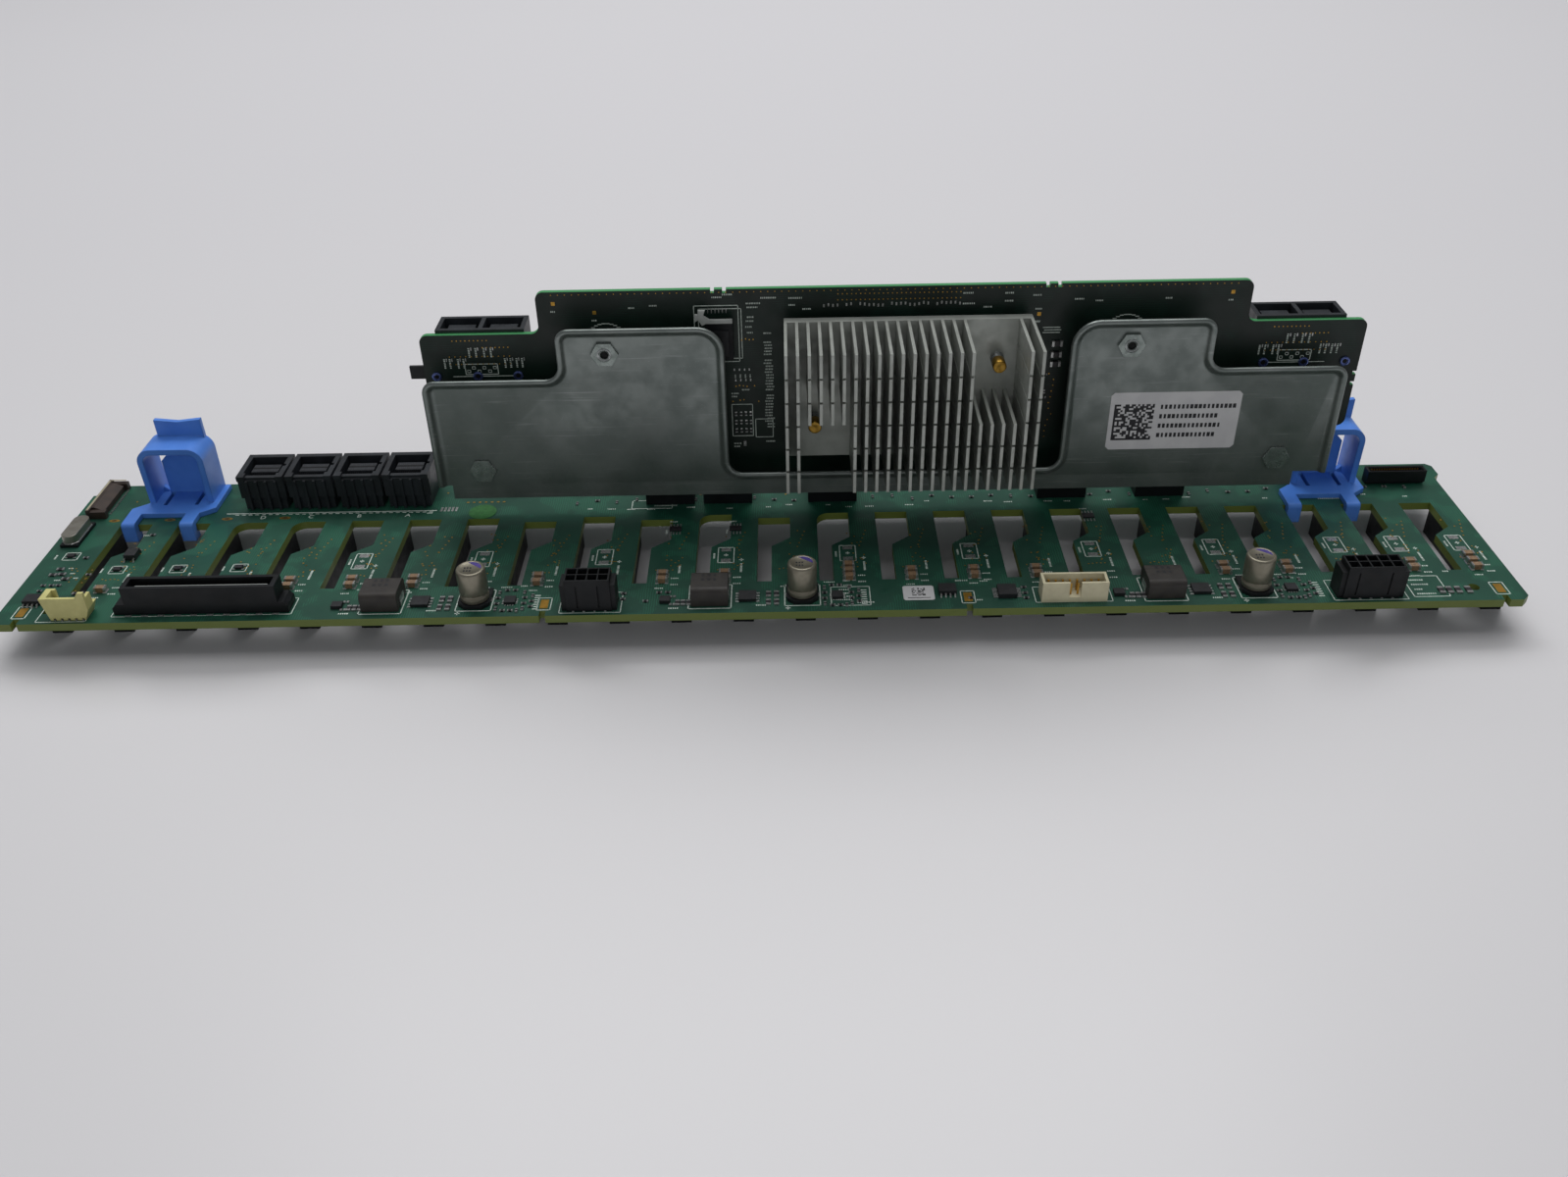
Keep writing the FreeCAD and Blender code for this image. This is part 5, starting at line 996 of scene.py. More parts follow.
    def edge_pads(self) -> None:
        """Add a gold pad with an ink outline behind each front notch."""
        for x in (-208.2, LAYOUT.bay(9) - 1.75, LAYOUT.bay(15) + 9.65, 208.2):
            self.gold.append((x, 5.7, 0, 2.3, 4.3, PAD_HEIGHT))
            self.ink += frame_of((x - 1.9, 2.8), (x + 1.9, 8.7), self.line * 0.8)

    def regulator(self, x: float) -> None:
        """Add the ink, small parts and leads round one power regulator.

        Args:
            x: Middle of its capacitor.
        """
        self.ink += frame_of((x - 32.1, 2.2), (x - 20.1, 13.9), self.line)
        self.ink += frame_of((x - 5.0, 2.9), (x + 5.0, 13.2), self.line)
        self.write(x - 37.5, 2.6, 5, 0.7)
        self.write(x - 12.9, 3.4, 5, 0.7)
        self.tin += [(x - 37.2 + dx, y, 0, 0.7, 0.9, 0.45) for dx in (0.0, 1.0) for y in (4.2, 8.0)]
        for column in range(3):
            self.small_part(x - 35.2 + column * 1.55, 5.0, True, 2.4)
        for row in range(2):
            for column in range(2):
                self.small_part(x - 9.6 + column * 2.3, 4.6 + row * 4.0, True, 2.6)
        self.tin += [(x - 15.5 + side * 2.9, 7.3 + (-2.0 + lead * 1.33), 0, 1.0, 0.6, 0.22)
                     for side in (-1, 1) for lead in range(4)]
        for side in (-1, 1):
            self.tin += [(x + 9.9 + side * 1.95, 6.2 + step * 0.7, 0, 0.5, 0.32, 0.2) for step in range(4)]
            self.tin += [(x + 8.8 + step * 0.7, 7.3 + side * 1.95, 0, 0.32, 0.5, 0.2) for step in range(4)]
        for order, (dx, y) in enumerate(self.controller_ring):
            self.small_part(x + dx, y, order % 3 == 0, 1.5)
        self.write(x + 6.4, 14.4, 6, 0.65)
        self.write(x + 11.9, 14.9, 4, 0.65)
        for step in range(7):
            self.bar(x + 17.4, 3.4 + step * 1.1, 1.6, 0.4)
        self.cross(x - 4.1, 1.8, 1.4, 0.35)

    def print_groups(self) -> None:
        """Add ink outlines round the connectors and blocks of small print between them."""
        for low, high in self.connector_frames:
            self.ink += frame_of(low, high, self.line * 0.72)
        self.tin += [(x, 3.1, 0, 1.9, 0.7, 0.2) for x in np.arange(-177.0, -134.0, 4.6)]
        self.bar(-134.5, 58.0, 66.0, 0.35)
        for step in range(30):
            self.bar(-164.0 + step * 2.1, 57.2, 1.2, 0.3)
        for x, y, count in self.text_rows:
            self.write(x, y, count, 0.72)
        for low, high in self.text_frames:
            self.ink += frame_of(low, high, 0.25)
        self.tin += [(x, 58.6, 0, 0.7, 2.4, 0.1) for x in np.arange(-100.0, -95.0, 1.15)]
        self.gold += [(x, 62.6, 0, 0.8, 0.6, GOLD_HEIGHT) for x in np.arange(-92.5, -80.0, 1.9)]

    def part_groups(self) -> None:
        """Add the small packages and chip parts that stand apart from the regulators."""
        draw = self.random
        for x, y in self.small_packages:
            self.tin += [(x + dx, y + dy, 0, 0.45, 1.2, 0.3)
                         for dx in (-1.5, -0.5, 0.5, 1.5) for dy in (-2.6, 2.0)]
            self.bodies.append((x, y - 0.3, 0, 3.6, 2.2, 0.6))
            self.write(x - 2.6, y - 2.5, 4, 0.7, True)
            self.write(x - 1.7, y + 4.2, 4, 0.7)
        for x, y in self.long_parts:
            self.small_part(x, y, True, 3.0)
        for x in (-207.5, -205.6, -203.4):
            for y in (12.4, 16.2, 19.0):
                self.small_part(x + draw.uniform(-0.4, 0.4), y, False, 1.5)
        for x, y in self.marked_parts:
            self.small_part(x, y, False, 2.2)
            self.write(x + 2.2, y + 0.6, 3, 0.6)
        for x, y in draw.uniform((-204.0, 16.0), (-196.0, 30.0), (14, 2)):
            self.via(x, y, 0.45)
        for x, y in self.lone_parts:
            self.small_part(x, y, False, 1.6)

    def rear_rows(self) -> None:
        """Add small parts, pads and print in the strip behind the air slots."""
        draw = self.random
        for x in np.arange(-60.0, 206.0, 6.2):
            if draw.uniform() < 0.55:
                self.write(x, 57.4 + draw.uniform(-1.4, 1.4), int(draw.integers(3, 6)), 0.65)
            self.small_part(x + 2.4, 61.0 + draw.uniform(-1.0, 1.6), bool(draw.integers(2)), 1.4)
        for x in np.arange(-208.0, 206.0, 9.0):
            self.via(x, 68.0 + draw.uniform(-4, 6), 0.6)

    def ovals(self) -> None:
        """Make the plated oval holes behind the first slots: a gold ring round painted shade for the hole."""
        places = [np.array((x, self.oval_row)) for x in self.ovals_at]
        ring, hole = Form(LAYOUT.board), Form(LAYOUT.board)
        ring.outlines([place + circle(20) * (1.75, 0.75) for place in places], 0.0, 0.06)
        hole.outlines([place + circle(20) * (0.9, 0.32) for place in places], 0.02, 0.06)
        ring.piece("plated_ovals", Look.GOLD, "gilded_pins")
        hole.piece("oval_holes", Look.HOLLOW_SHADE, "black_moulding")

    def letters(self) -> None:
        """Make one generic letter in front of each cable port."""
        for letter, x in zip(self.port_letters, self.letter_places):
            curve = bpy.data.curves.new("letter", "FONT")
            curve.body, curve.size, curve.extrude = letter, 2.5 * MM, 0.02 * MM
            curve.align_x = curve.align_y = "CENTER"
            text = bpy.data.objects.new("letter", curve)
            mesh = bpy.data.meshes.new_from_object(text)
            bpy.data.objects.remove(text)
            place = np.array(LAYOUT.board.zero) + (x, 55.4, 0.03)
            mesh.transform(Matrix.Translation(Vector(place * MM)))
            mesh.materials.clear()
            mesh.materials.append(Look.INK.material)
            item = link(f"port_letter_{letter.lower()}", mesh)
            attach(item, BODY)

    def label(self) -> None:
        """Make a small white label with a generic block pattern, and a green paper dot."""
        paper = 0.12
        Form(LAYOUT.board).crates([(45.3, 8.1, 0, 8.8, 7.0, paper)], SLAB, 0.5).piece(
            "small_label", Look.PAPER, "ceramic")
        cells = block_pattern(self.random.random((9, 9)) < 0.5, (43.6, 6.9), 0.42, paper)
        cells.append((45.3, 5.6, paper, 6.4, 0.3, TONER_HEIGHT))
        Form(LAYOUT.board).crates(cells).piece("small_label_pattern", Look.TONER, "black_moulding")
        loop = np.array((-86.8, 56.6)) + circle(28) * self.dot_radius
        Form(LAYOUT.board).outlines([loop], 0.0, paper).piece("green_dot", Look.GREEN_DOT, "board_laminate")

    def build(self) -> None:
        """Dress the board and make its pieces."""
        dress(Look.MAIN_BOARD, "backplane_board")
        for bay in self.open_footprints:
            self.footprint(bay)
        self.fitted(-206.5, 34.8)
        for bay in self.fitted_footprints:
            self.fitted(LAYOUT.bay(bay) + 13.1, 27.0)
        for bay in range(1, BAYS):
            self.bay_marks(bay)
        self.edge_pads()
        for x in LAYOUT.capacitors:
            self.regulator(x)
        self.print_groups()
        self.part_groups()
        self.rear_rows()
        self.ovals()
        self.letters()
        self.label()
        self.make_pieces(LAYOUT.board, "board", "small_parts")


# ---- parts standing on the main board -------------------------------------------------------


@dataclass
class Capacitors:
    """Three polymer capacitors: a crimped can with a rolled top on a black base."""

    radius: float = 4.1
    height: float = 10.0
    segments: int = 48
    ink_sweep: Spot = (-8, 112)      # first and last angle of the polarity mark, degrees

    def build(self) -> None:
        """Replace the plain cans and add their print and tabs."""
        low, high = node_box("capacitor_cans")
        base = low[2]
        xs = [x + LAYOUT.middle for x in LAYOUT.capacitors]
        y = (low[1] + high[1]) / 2
        r, top = self.radius, self.height
        profile = [(r - 0.5, 0.0), (r - 0.08, 0.15), (r, 0.6), (r, 1.3), (r - 0.22, 1.6), (r - 0.42, 1.95),
                   (r - 0.42, 2.25), (r - 0.22, 2.6), (r, 2.95), (r, top - 0.75), (r - 0.1, top - 0.32),
                   (r - 0.38, top - 0.06), (r - 0.7, top), (r - 1.0, top - 0.06), (r - 1.15, top - 0.14),
                   (0.6, top - 0.14)]
        cans = Form(Plane((0, 0, base))).rounds([(x, y, 0) for x in xs], profile, self.segments)
        piece = cans.piece("crimped_cans", Look.CAN, "capacitor_can", 35)
        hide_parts("capacitor_cans")
        angle = np.linspace(*np.radians(self.ink_sweep), 18)
        inked = r - 0.85
        loops = [np.column_stack([x + np.cos(angle) * inked, y + np.sin(angle) * inked]) for x in xs]
        Form(Plane((0, 0, base + top - 0.15))).outlines(loops, 0.0, 0.05).piece(
            "can_polarity_ink", Look.PURPLE, "capacitor_can")
        marks = [(x - 1.5 + dx, y + dy, 0, 0.5, 0.75, 0.03)
                 for x in xs for dx in (0, 0.8, 1.6) for dy in (-1.4, 0.0)]
        Form(Plane((0, 0, base + top - 0.14))).crates(marks).piece("can_marks", Look.TONER, "capacitor_can")
        tabs = [(x + side * 4.45, y, 0, 0.9, 1.6, 0.35) for x in xs for side in (-1, 1)]
        Form(LAYOUT.deck_plane).crates(tabs, SLAB).piece("can_tabs", Look.TIN, "plated_steel")
        dress(Look.BLACK_NYLON, "capacitor_bases")
        LOG.info("capacitors: %d", len(xs))


@dataclass
class Inductors:
    """Three pressed inductors with tinned side terminals and a faint mark on top."""

    from_capacitor: float = 26.1     # left of each one's capacitor

    def build(self) -> None:
        """Dress the cores and add the terminals."""
        dress(Look.CORE, "power_inductors")
        low, high = node_box("power_inductors")
        xs = [x + LAYOUT.middle - self.from_capacitor for x in LAYOUT.capacitors]
        y, top = (low[1] + high[1]) / 2, high[2] - LAYOUT.deck
        ends = [(x + side * 5.2, y, 0, 0.5, 4.2, 2.6) for x in xs for side in (-1, 1)]
        Form(LAYOUT.deck_plane).crates(ends, SLAB).piece("inductor_ends", Look.TIN, "plated_steel")
        marks = [(x - 1.9 + dx, y + dy, top, 0.9, 1.3, 0.02)
                 for x in xs for dx in (0, 1.7, 3.4) for dy in (0.4, 2.6)]
        Form(LAYOUT.deck_plane).crates(marks, corner=0.25).piece(
            "inductor_marks", Look.EPOXY, "inductor_core")


@dataclass(frozen=True)
class LeadedPackage:
    """A chip with leads along two sides.

    Attributes:
        bay: The bay it stands by.
        shift: Its middle from that bay's middle.
        y: Its middle, back from the front edge.
        length: Size along X.
        depth: Size along Y.
        height: Height of the body.
        leads: Leads on a side.
        along_y: Whether they leave along Y.
    """

    bay: int
    shift: float
    y: float
    length: float
    depth: float
    height: float
    leads: int
    along_y: bool


@dataclass
class Chips:
    """Packaged chips: bent or straight tinned leads along their sides."""

    packages: tuple[LeadedPackage, ...] = (
        LeadedPackage(15, 4.1, 8.7, 4.9, 3.9, 1.5, 4, True),
        LeadedPackage(16, 2.8, 7.3, 5.2, 5.2, 1.5, 7, False),
        LeadedPackage(1, 14.8, 34.2, 3.4, 4.2, 1.8, 2, True),
        LeadedPackage(1, -4.4, 11.1, 4.9, 3.9, 1.5, 4, True))
    reach: float = 0.7
    foot: float = 0.7
    metal: float = 0.2
    lead_width: float = 0.44

    def leads(self, form: Form, chip: LeadedPackage) -> None:
        """Add two rows of leads: out from the body's middle height, down, and out along the board.

        Args:
            form: The leads gathered so far.
            chip: The package they belong to.
        """
        x, half, out = LAYOUT.bay(chip.bay) + chip.shift, chip.height * 0.5, self.reach + self.foot
        section = [(0.0, half), (-self.reach, half), (-self.reach - 0.15, self.metal), (-out, self.metal),
                   (-out, 0.0), (-self.reach, 0.0), (-self.reach + 0.18, half - self.metal),
                   (0.0, half - self.metal)]
        pitch = (chip.length if chip.along_y else chip.depth) * 0.8 / max(chip.leads - 1, 1)
        for order in range(chip.leads):
            shift = (order - (chip.leads - 1) / 2) * pitch
            if chip.along_y:
                near = x + shift - self.lead_width / 2
                form.strips(section, [(near, chip.y - chip.depth / 2, 0)], self.lead_width)
                form.strips(section, [(near, chip.y + chip.depth / 2, 0)], self.lead_width, flip=True)
            else:
                form.crates([(x + side * (chip.length / 2 + 0.7), chip.y + shift, 0.0, 1.4, 0.4, 0.3)
                             for side in (-1, 1)], SLAB)

    def build(self) -> None:
        """Dress the packages and make all leads as one piece."""
        dress(Look.EPOXY, "board_chips", "controller_chip")
        form, marks = Form(LAYOUT.board), []
        for chip in self.packages:
            self.leads(form, chip)
            x = LAYOUT.bay(chip.bay) + chip.shift
            marks.append((x - chip.length / 2 + 0.8, chip.y - chip.depth / 2 + 0.8, chip.height))
        form.piece("chip_leads", Look.TIN, "plated_steel")
        Form(LAYOUT.board).rounds(marks, ((0.32, 0.0), (0.32, 0.02)), 14).piece(
            "chip_first_lead_marks", Look.RESISTOR, "chip_epoxy")


@dataclass
class Ceramics:
    """Stacked chip capacitors: a tan body between two plated end caps."""

    counts: dict[int, int] = field(default_factory=lambda: {
        1: 1, 4: 2, 5: 2, 6: 2, 8: 2, 10: 2, 11: 2, 13: 3, 14: 2, 15: 2, 16: 2, 19: 2, 20: 2, 22: 2, 23: 3})

    def build(self) -> None:
        """Dress the bodies and cap their ends."""
        dress(Look.CERAMIC, "chip_capacitors")
        caps = [
            (LAYOUT.bay(bay) + 12.7 + side * 1.35, 16.0 + order * 3.1, 0, 0.62, 1.9, 1.66)
            for bay, count in self.counts.items() for order in range(count) for side in (-1, 1)
        ]
        Form(LAYOUT.board).crates(caps, ((0.1, 0.0), (0.0, 0.08), (0.0, 0.9), (0.12, 1.0))).piece(
            "capacitor_end_caps", Look.TIN, "plated_steel")
        fillets = [(x, y, 0, 1.1, 2.3, 0.3) for x, y, *_ in caps]
        Form(LAYOUT.board).crates(fillets, ((0.0, 0.0), (0.25, 1.0))).piece(
            "capacitor_solder", Look.TIN, "plated_steel")


@dataclass
class CablePorts:
    """Four upright cable ports, with rows of contacts on each tongue."""

    tongue_setback: float = 7.7      # the tongue's middle, back from the port's front
    pitch: float = 0.6

    def build(self) -> None:
        """Dress the ports and add two rows of contacts on each tongue."""
        names = [f"cable_port_{letter}" for letter in "abcd"]
        dress(Look.CHARCOAL_NYLON, *names)
        contacts, slits = Form(LAYOUT.deck_plane), Form(LAYOUT.deck_plane)
        places = np.arange(-3.9, 4.0, self.pitch)
        for name in names:
            low, high = node_box(name)
            middle, top = (low[0] + high[0]) / 2, high[2] - LAYOUT.deck
            y = low[1] + self.tongue_setback
            contacts.crates([(middle + dx, y + side * 2.35, top - 7.0, 0.3, 0.16, 5.6)
                             for dx in places for side in (-1, 1)])
            contacts.crates([(middle + dx, y + side * 1.2, top - 1.22, 0.3, 1.2, 0.06)
                             for dx in places for side in (-1, 1)])
            # a near-black strip along each tongue: painted shade for the slit
            slits.crates([(middle, y, top - 1.22, 8.2, 0.7, 0.04)])
        contacts.piece("port_contacts", Look.PEWTER, "gilded_pins")
        slits.piece("port_tongue_slits", Look.HOLLOW_SHADE, "black_moulding")


@dataclass
class FrontHeaders:
    """Connectors along the front edge: slot connector, signal, power and box headers."""

    signal_pitch: float = 2.0
    power_pitch: float = 3.0
    slot_pitch: float = 0.8

    def slot_connector(self) -> None:
        """Contacts along both walls of the channel, and the pale edge of the tongue."""
        dress(Look.BLACK_NYLON, "slot_connector")
        low, high = node_box("slot_connector")
        x0, x1 = low[0] + 3.6 + 2.8, high[0] - 2.6 - 2.8
        y, top = (low[1] + high[1]) / 2, high[2] - LAYOUT.deck
        places = np.arange(x0 + 0.4, x1 - 0.2, self.slot_pitch)
        contacts = [(x, y + side * 0.66, top - 6.0, 0.36, 0.12, 4.4) for x in places for side in (-1, 1)]
        Form(LAYOUT.deck_plane).crates(contacts).piece("slot_contacts", Look.GOLD, "gilded_pins")
        edge = [((x0 + x1) / 2, y, top - 1.5, x1 - x0 - 0.2, 0.9, 0.12)]
        Form(LAYOUT.deck_plane).crates(edge, SLAB).piece(
            "slot_tongue_edge", Look.GREY_POLYMER_AND_HIGHLIGHT, "grey_moulding")

    def signal_header(self) -> None:
        """Pins in the box and leads through the front notches."""
        dress(Look.CREAM_NYLON, "signal_header")
        left, front, _ = node_box("signal_header")[0]
        starts = [left + 2.4 + order * self.signal_pitch for order in range(5)]
        plane = LAYOUT.deck_plane
        leads = Form(plane).crates([(x + 0.35, front + 0.3, 0, 0.4, 1.2, 0.35) for x in starts], SLAB)
        leads.crates([(x + 0.35, front + 2.7, 1.8, 0.5, 0.5, 4.2) for x in starts],
                     ((0, 0), (0, 0.85), (0.15, 1)))
        leads.piece("signal_header_pins", Look.TIN, "gilded_pins")

    def power_header(self, node: str, ways: int) -> None:
        """Pins in the cells and solder tails for one power header.

        Args:
            node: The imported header.
            ways: Cells in a row.
        """
        dress(Look.BLACK_NYLON, node)
        low, high = node_box(node)
        middle, front, pitch = (low[0] + high[0]) / 2, low[1], self.power_pitch
        plane = LAYOUT.deck_plane
        columns = middle + (np.arange(ways) - (ways - 1) / 2) * pitch
        tails = [(x, front + 0.1, 0, 0.6, 0.9, 0.3) for x in columns]
        Form(plane).crates(tails, SLAB).piece(f"{node}_tails", Look.TIN, "plated_steel")
        pins = [(x, front + 1.8 + row * pitch, 5.4, 0.7, 0.7, 2.6) for x in columns for row in (0, 1)]
        Form(plane).crates(pins, ((0, 0), (0, 0.8), (0.2, 1))).piece(
            f"{node}_pins", Look.TIN, "gilded_pins")

    def box_header(self) -> None:
        """Ivory shroud and its gilded pins."""
        dress(Look.IVORY_NYLON, "box_header")
        dress(Look.GOLD, "box_header_pins")

    def build(self) -> None:
        """Dress every front connector."""
        self.slot_connector()
        self.signal_header()
        self.power_header("power_header_8", 4)
        self.power_header("power_header_10", 5)
        self.box_header()
        LOG.info("front headers dressed")


@dataclass
class RearCorners:
    """Small parts at the rear corners: ribbon connector, crystal and side-band connector."""

    ribbon_pitch: float = 0.9
    sideband_pitch: float = 0.8

    def ribbon(self) -> None:
        """The ribbon connector's pale rail and its leads."""
        dress(Look.BROWN_LCP, "ribbon_connector", "ribbon_flap")
        low, high = node_box("ribbon_connector")
        top, deep = high[2] - LAYOUT.deck, high[1] - low[1]
        rail = [(low[0] + 0.4, (low[1] + high[1]) / 2, top, 0.7, deep - 1.0, 0.03),
                ((low[0] + high[0]) / 2, high[1] - 0.5, top, high[0] - low[0] - 1.0, 0.6, 0.03)]
        Form(LAYOUT.deck_plane).crates(rail, SLAB).piece("ribbon_rail", Look.BEIGE_LCP, "cream_moulding")
        leads = [(high[0] + 0.1, y, 0, 0.7, 0.3, 0.35)
                 for y in np.arange(low[1] + 2.8, high[1] - 2.4, self.ribbon_pitch)]
        Form(LAYOUT.deck_plane).crates(leads, SLAB).piece("ribbon_leads", Look.TIN, "plated_steel")

    def sideband(self) -> None:
        """The side-band connector's contacts and a painted highlight on the rim of its mouth."""
        dress(Look.BLACK_NYLON, "sideband_connector")
        low, high = node_box("sideband_connector")
        top = high[2] - LAYOUT.deck
        contacts = [(x, high[1] - 2.0 + side * 0.55, top - 2.4, 0.35, 0.2, 2.2)
                    for x in np.arange(low[0] + 1.8, high[0] - 1.6, self.sideband_pitch) for side in (-1, 1)]
        Form(LAYOUT.deck_plane).crates(contacts, SLAB).piece("sideband_contacts", Look.GOLD, "gilded_pins")
        # pale grey frame on the black top face round the mouth: a painted highlight where the edge catches
        # light
        rim = frame_of((low[0] + 0.9, high[1] - 3.1), (high[0] - 0.9, high[1] - 0.9), 0.42)
        Form(Plane((0, 0, high[2]))).crates([(*bar[:2], -0.02, *bar[3:5], 0.02) for bar in rim]).piece(
            "sideband_rim", Look.GREY_POLYMER_AND_HIGHLIGHT, "black_moulding")

    def crystal(self) -> None:
        """The crystal's flange."""
        dress(Look.CRYSTAL, "timing_crystal")
        dress(Look.BLACK_NYLON, "crystal_base")
        low, high = node_box("timing_crystal")
        flange = ((low[0] + high[0]) / 2, (low[1] + high[1]) / 2, 0.9, high[0] - low[0] + 0.5,
                  high[1] - low[1] + 0.5, 0.3)
        Form(LAYOUT.deck_plane).crates([flange], SLAB, 1.6).piece("crystal_flange", Look.TIN, "crystal_can")

    def build(self) -> None:
        """Dress them and add leads and contacts."""
        self.ribbon()
        self.sideband()
        self.crystal()


# ---- upright board and what it carries ------------------------------------------------------


@dataclass
class UprightBoard(BoardFace):
    """The dark upright board: print, gold, small parts, locating pegs and its sockets.

    A row of print is (x of its first mark, height, number of marks).
    """

    random: np.random.Generator = field(default_factory=lambda: np.random.default_rng(21))
    part_width: float = 0.5
    cap_place: float = 0.36
    cap_length: float = 0.26
    cap_height: float = 0.47
    gold_corner: float = 0.1
    print_size: float = 0.6
    fine_size: float = 0.55
    spot: float = 0.34
    rear_ports: tuple[str, ...] = ("expander_port_left", "expander_port_right")
    pegs_at: tuple[float, ...] = (-94.3, -82.1, -70.2, 149.3, 161.1, 173.3)
    peg_height: float = 45.4

    # each row's height, number of spots, start from the port's middle, and pitch
    terminators: tuple[tuple[float, int, float, float], ...] = (
        (56.6, 9, -8.0, 1.25), (54.4, 7, 0.5, 1.25), (51.6, 12, -9.5, 1.6), (49.2, 12, -9.5, 1.6))

    # x is from the port's middle here
    port_parts: Spots = (
        (-11.2, 50.0), (-9.6, 50.0), (-7.2, 50.0), (-5.6, 50.0), (-3.6, 53.4), (-1.6, 53.4), (0.8, 53.4),
        (2.8, 53.4), (6.6, 50.0), (8.2, 50.0), (10.0, 50.0), (11.6, 50.0))

    upper_rows: tuple[tuple[float, float, int], ...] = (
        (10, 68, 8), (10, 65.9, 4), (14, 64.6, 5), (60, 68.6, 6), (72, 68.4, 5), (72, 66.0, 5), (80, 67.6, 5),
        (81, 63.4, 4), (-9, 69.4, 6), (2, 68.2, 9), (-12, 68.6, 6), (-2, 62.4, 4), (-2.6, 59.4, 4),
        (118, 66, 4), (60, 65.4, 7), (66, 64.3, 5))
    lower_rows: tuple[tuple[float, float, int], ...] = (
        (-2.2, 66.6, 9), (-2.0, 65.4, 7), (-2.4, 61.2, 5), (-2.2, 57.6, 4), (-7.4, 38.2, 5), (-7.4, 37.2, 4),
        (-4.2, 39.4, 5), (-7.2, 21.4, 5), (-7.2, 20.4, 4), (2.6, 22.0, 6), (-30.0, 66.4, 5), (-36.0, 65.8, 4),
        (92.0, 66.2, 6), (98.0, 65.6, 5), (81.0, 59.6, 4))

    # x, height, length and depth of each
    rear_packages: tuple[tuple[float, float, float, float], ...] = (
        (10, 44, 12, 12), (-34, 40, 8, 5), (-70, 36, 7, 7), (38, 30, 9, 6), (-100, 46, 5, 4), (24, 60, 5, 4))
    rear_package_height: float = 1.1

    def shoulder(self, middle: float) -> None:
        """Add the terminator rows and print in front of one rear port.

        Args:
            middle: The port's middle.
        """
        for z, count, start, pitch in self.terminators:
            for order in range(count):
                self.via(middle + start + order * pitch, z, self.spot)
        for dx, z in self.port_parts:
            self.write(middle + dx, z - 1.9, 6, 0.62, True)
            self.tin.append((middle + dx + 0.7, z + 0.6, 0, self.spot, 1.0, 0.16))
        self.ink += frame_of((middle - 5.4, 45.9), (middle + 4.2, 49.2), 0.22)
        for order in range(6):
            x, z = middle - 4.4 + order * 1.55, 46.9 + (order % 2) * 1.1
            self.ink += frame_of((x - 0.45, z - 0.4), (x + 0.45, z + 0.4), 0.16)
        self.bar(middle - 0.3, 45.3, 18.0, 0.2)

    def pegs(self) -> None:
        """Make the soldered pegs, each a blue-tinted ring round a middle of painted shade."""
        ring = ((1.45, 0.0), (1.45, 0.5), (1.3, 0.62), (0.95, 0.62), (0.85, 0.3), (0.2, 0.28))
        hollow, floor = ((0.7, 0.0), (0.7, 0.05)), 0.28
        feet = [(x, self.peg_height, 0) for x in self.pegs_at]
        floors = [(x, self.peg_height, floor) for x in self.pegs_at]
        plane = LAYOUT.upright_face
        Form(plane).rounds(feet, ring, 24).piece("port_pegs", Look.BLUE_RING, "plated_steel", 40)
        Form(plane).rounds(floors, hollow, 18).piece("peg_hollows", Look.HOLLOW_SHADE, "dark_laminate")

    def memory_area(self) -> None:
        """Add the outline print and contact pins of the memory socket, and make its card's face."""
        dress(Look.BLACK_NYLON, "memory_socket")
        dress(Look.GREY_POLYMER_AND_HIGHLIGHT, "memory_latch")
        for low, high in (((-17.4, 48.6), (-4.7, 66.1)), ((-16.2, 49.6), (-3.85, 65.1))):
            self.ink += frame_of(low, high, 0.22)
        low, high = node_box("memory_socket")
        plane = Plane((LAYOUT.middle, low[1], LAYOUT.deck), Facing.FRONT)
        z0, z1 = low[2] - LAYOUT.deck, high[2] - LAYOUT.deck
        middle = (low[0] + high[0]) / 2 - LAYOUT.middle
        card = (middle, (z0 + z1) / 2 - 0.6, 0, high[0] - low[0] - 2.2, z1 - z0 - 3.4, 0.3)
        Form(plane).crates([card], ((0, 0), (0.15, 1))).piece(
            "memory_card_face", Look.EPOXY, "black_moulding")
        self.tin += [(-13.4 + order * 1.05, 64.6, 0, 0.3, 1.5, 0.25) for order in range(6)]

    def top_rows(self) -> None:
        """Add the rows of spots, terminals and print above the heatsink."""
        draw = self.random
        for z in (69.0, 67.2):
            for x in np.arange(24, 60, 1.3):
                self.via(x, z, self.spot)
        for x in np.arange(20.0, 60.0, 1.3):
            if draw.uniform() < 0.8:
                self.tin.append((x, 65.7 + draw.uniform(-0.3, 0.3), 0, 0.5, 0.9, 0.2))
        for x, z, count in self.upper_rows:
            self.write(x, z, count, self.print_size)

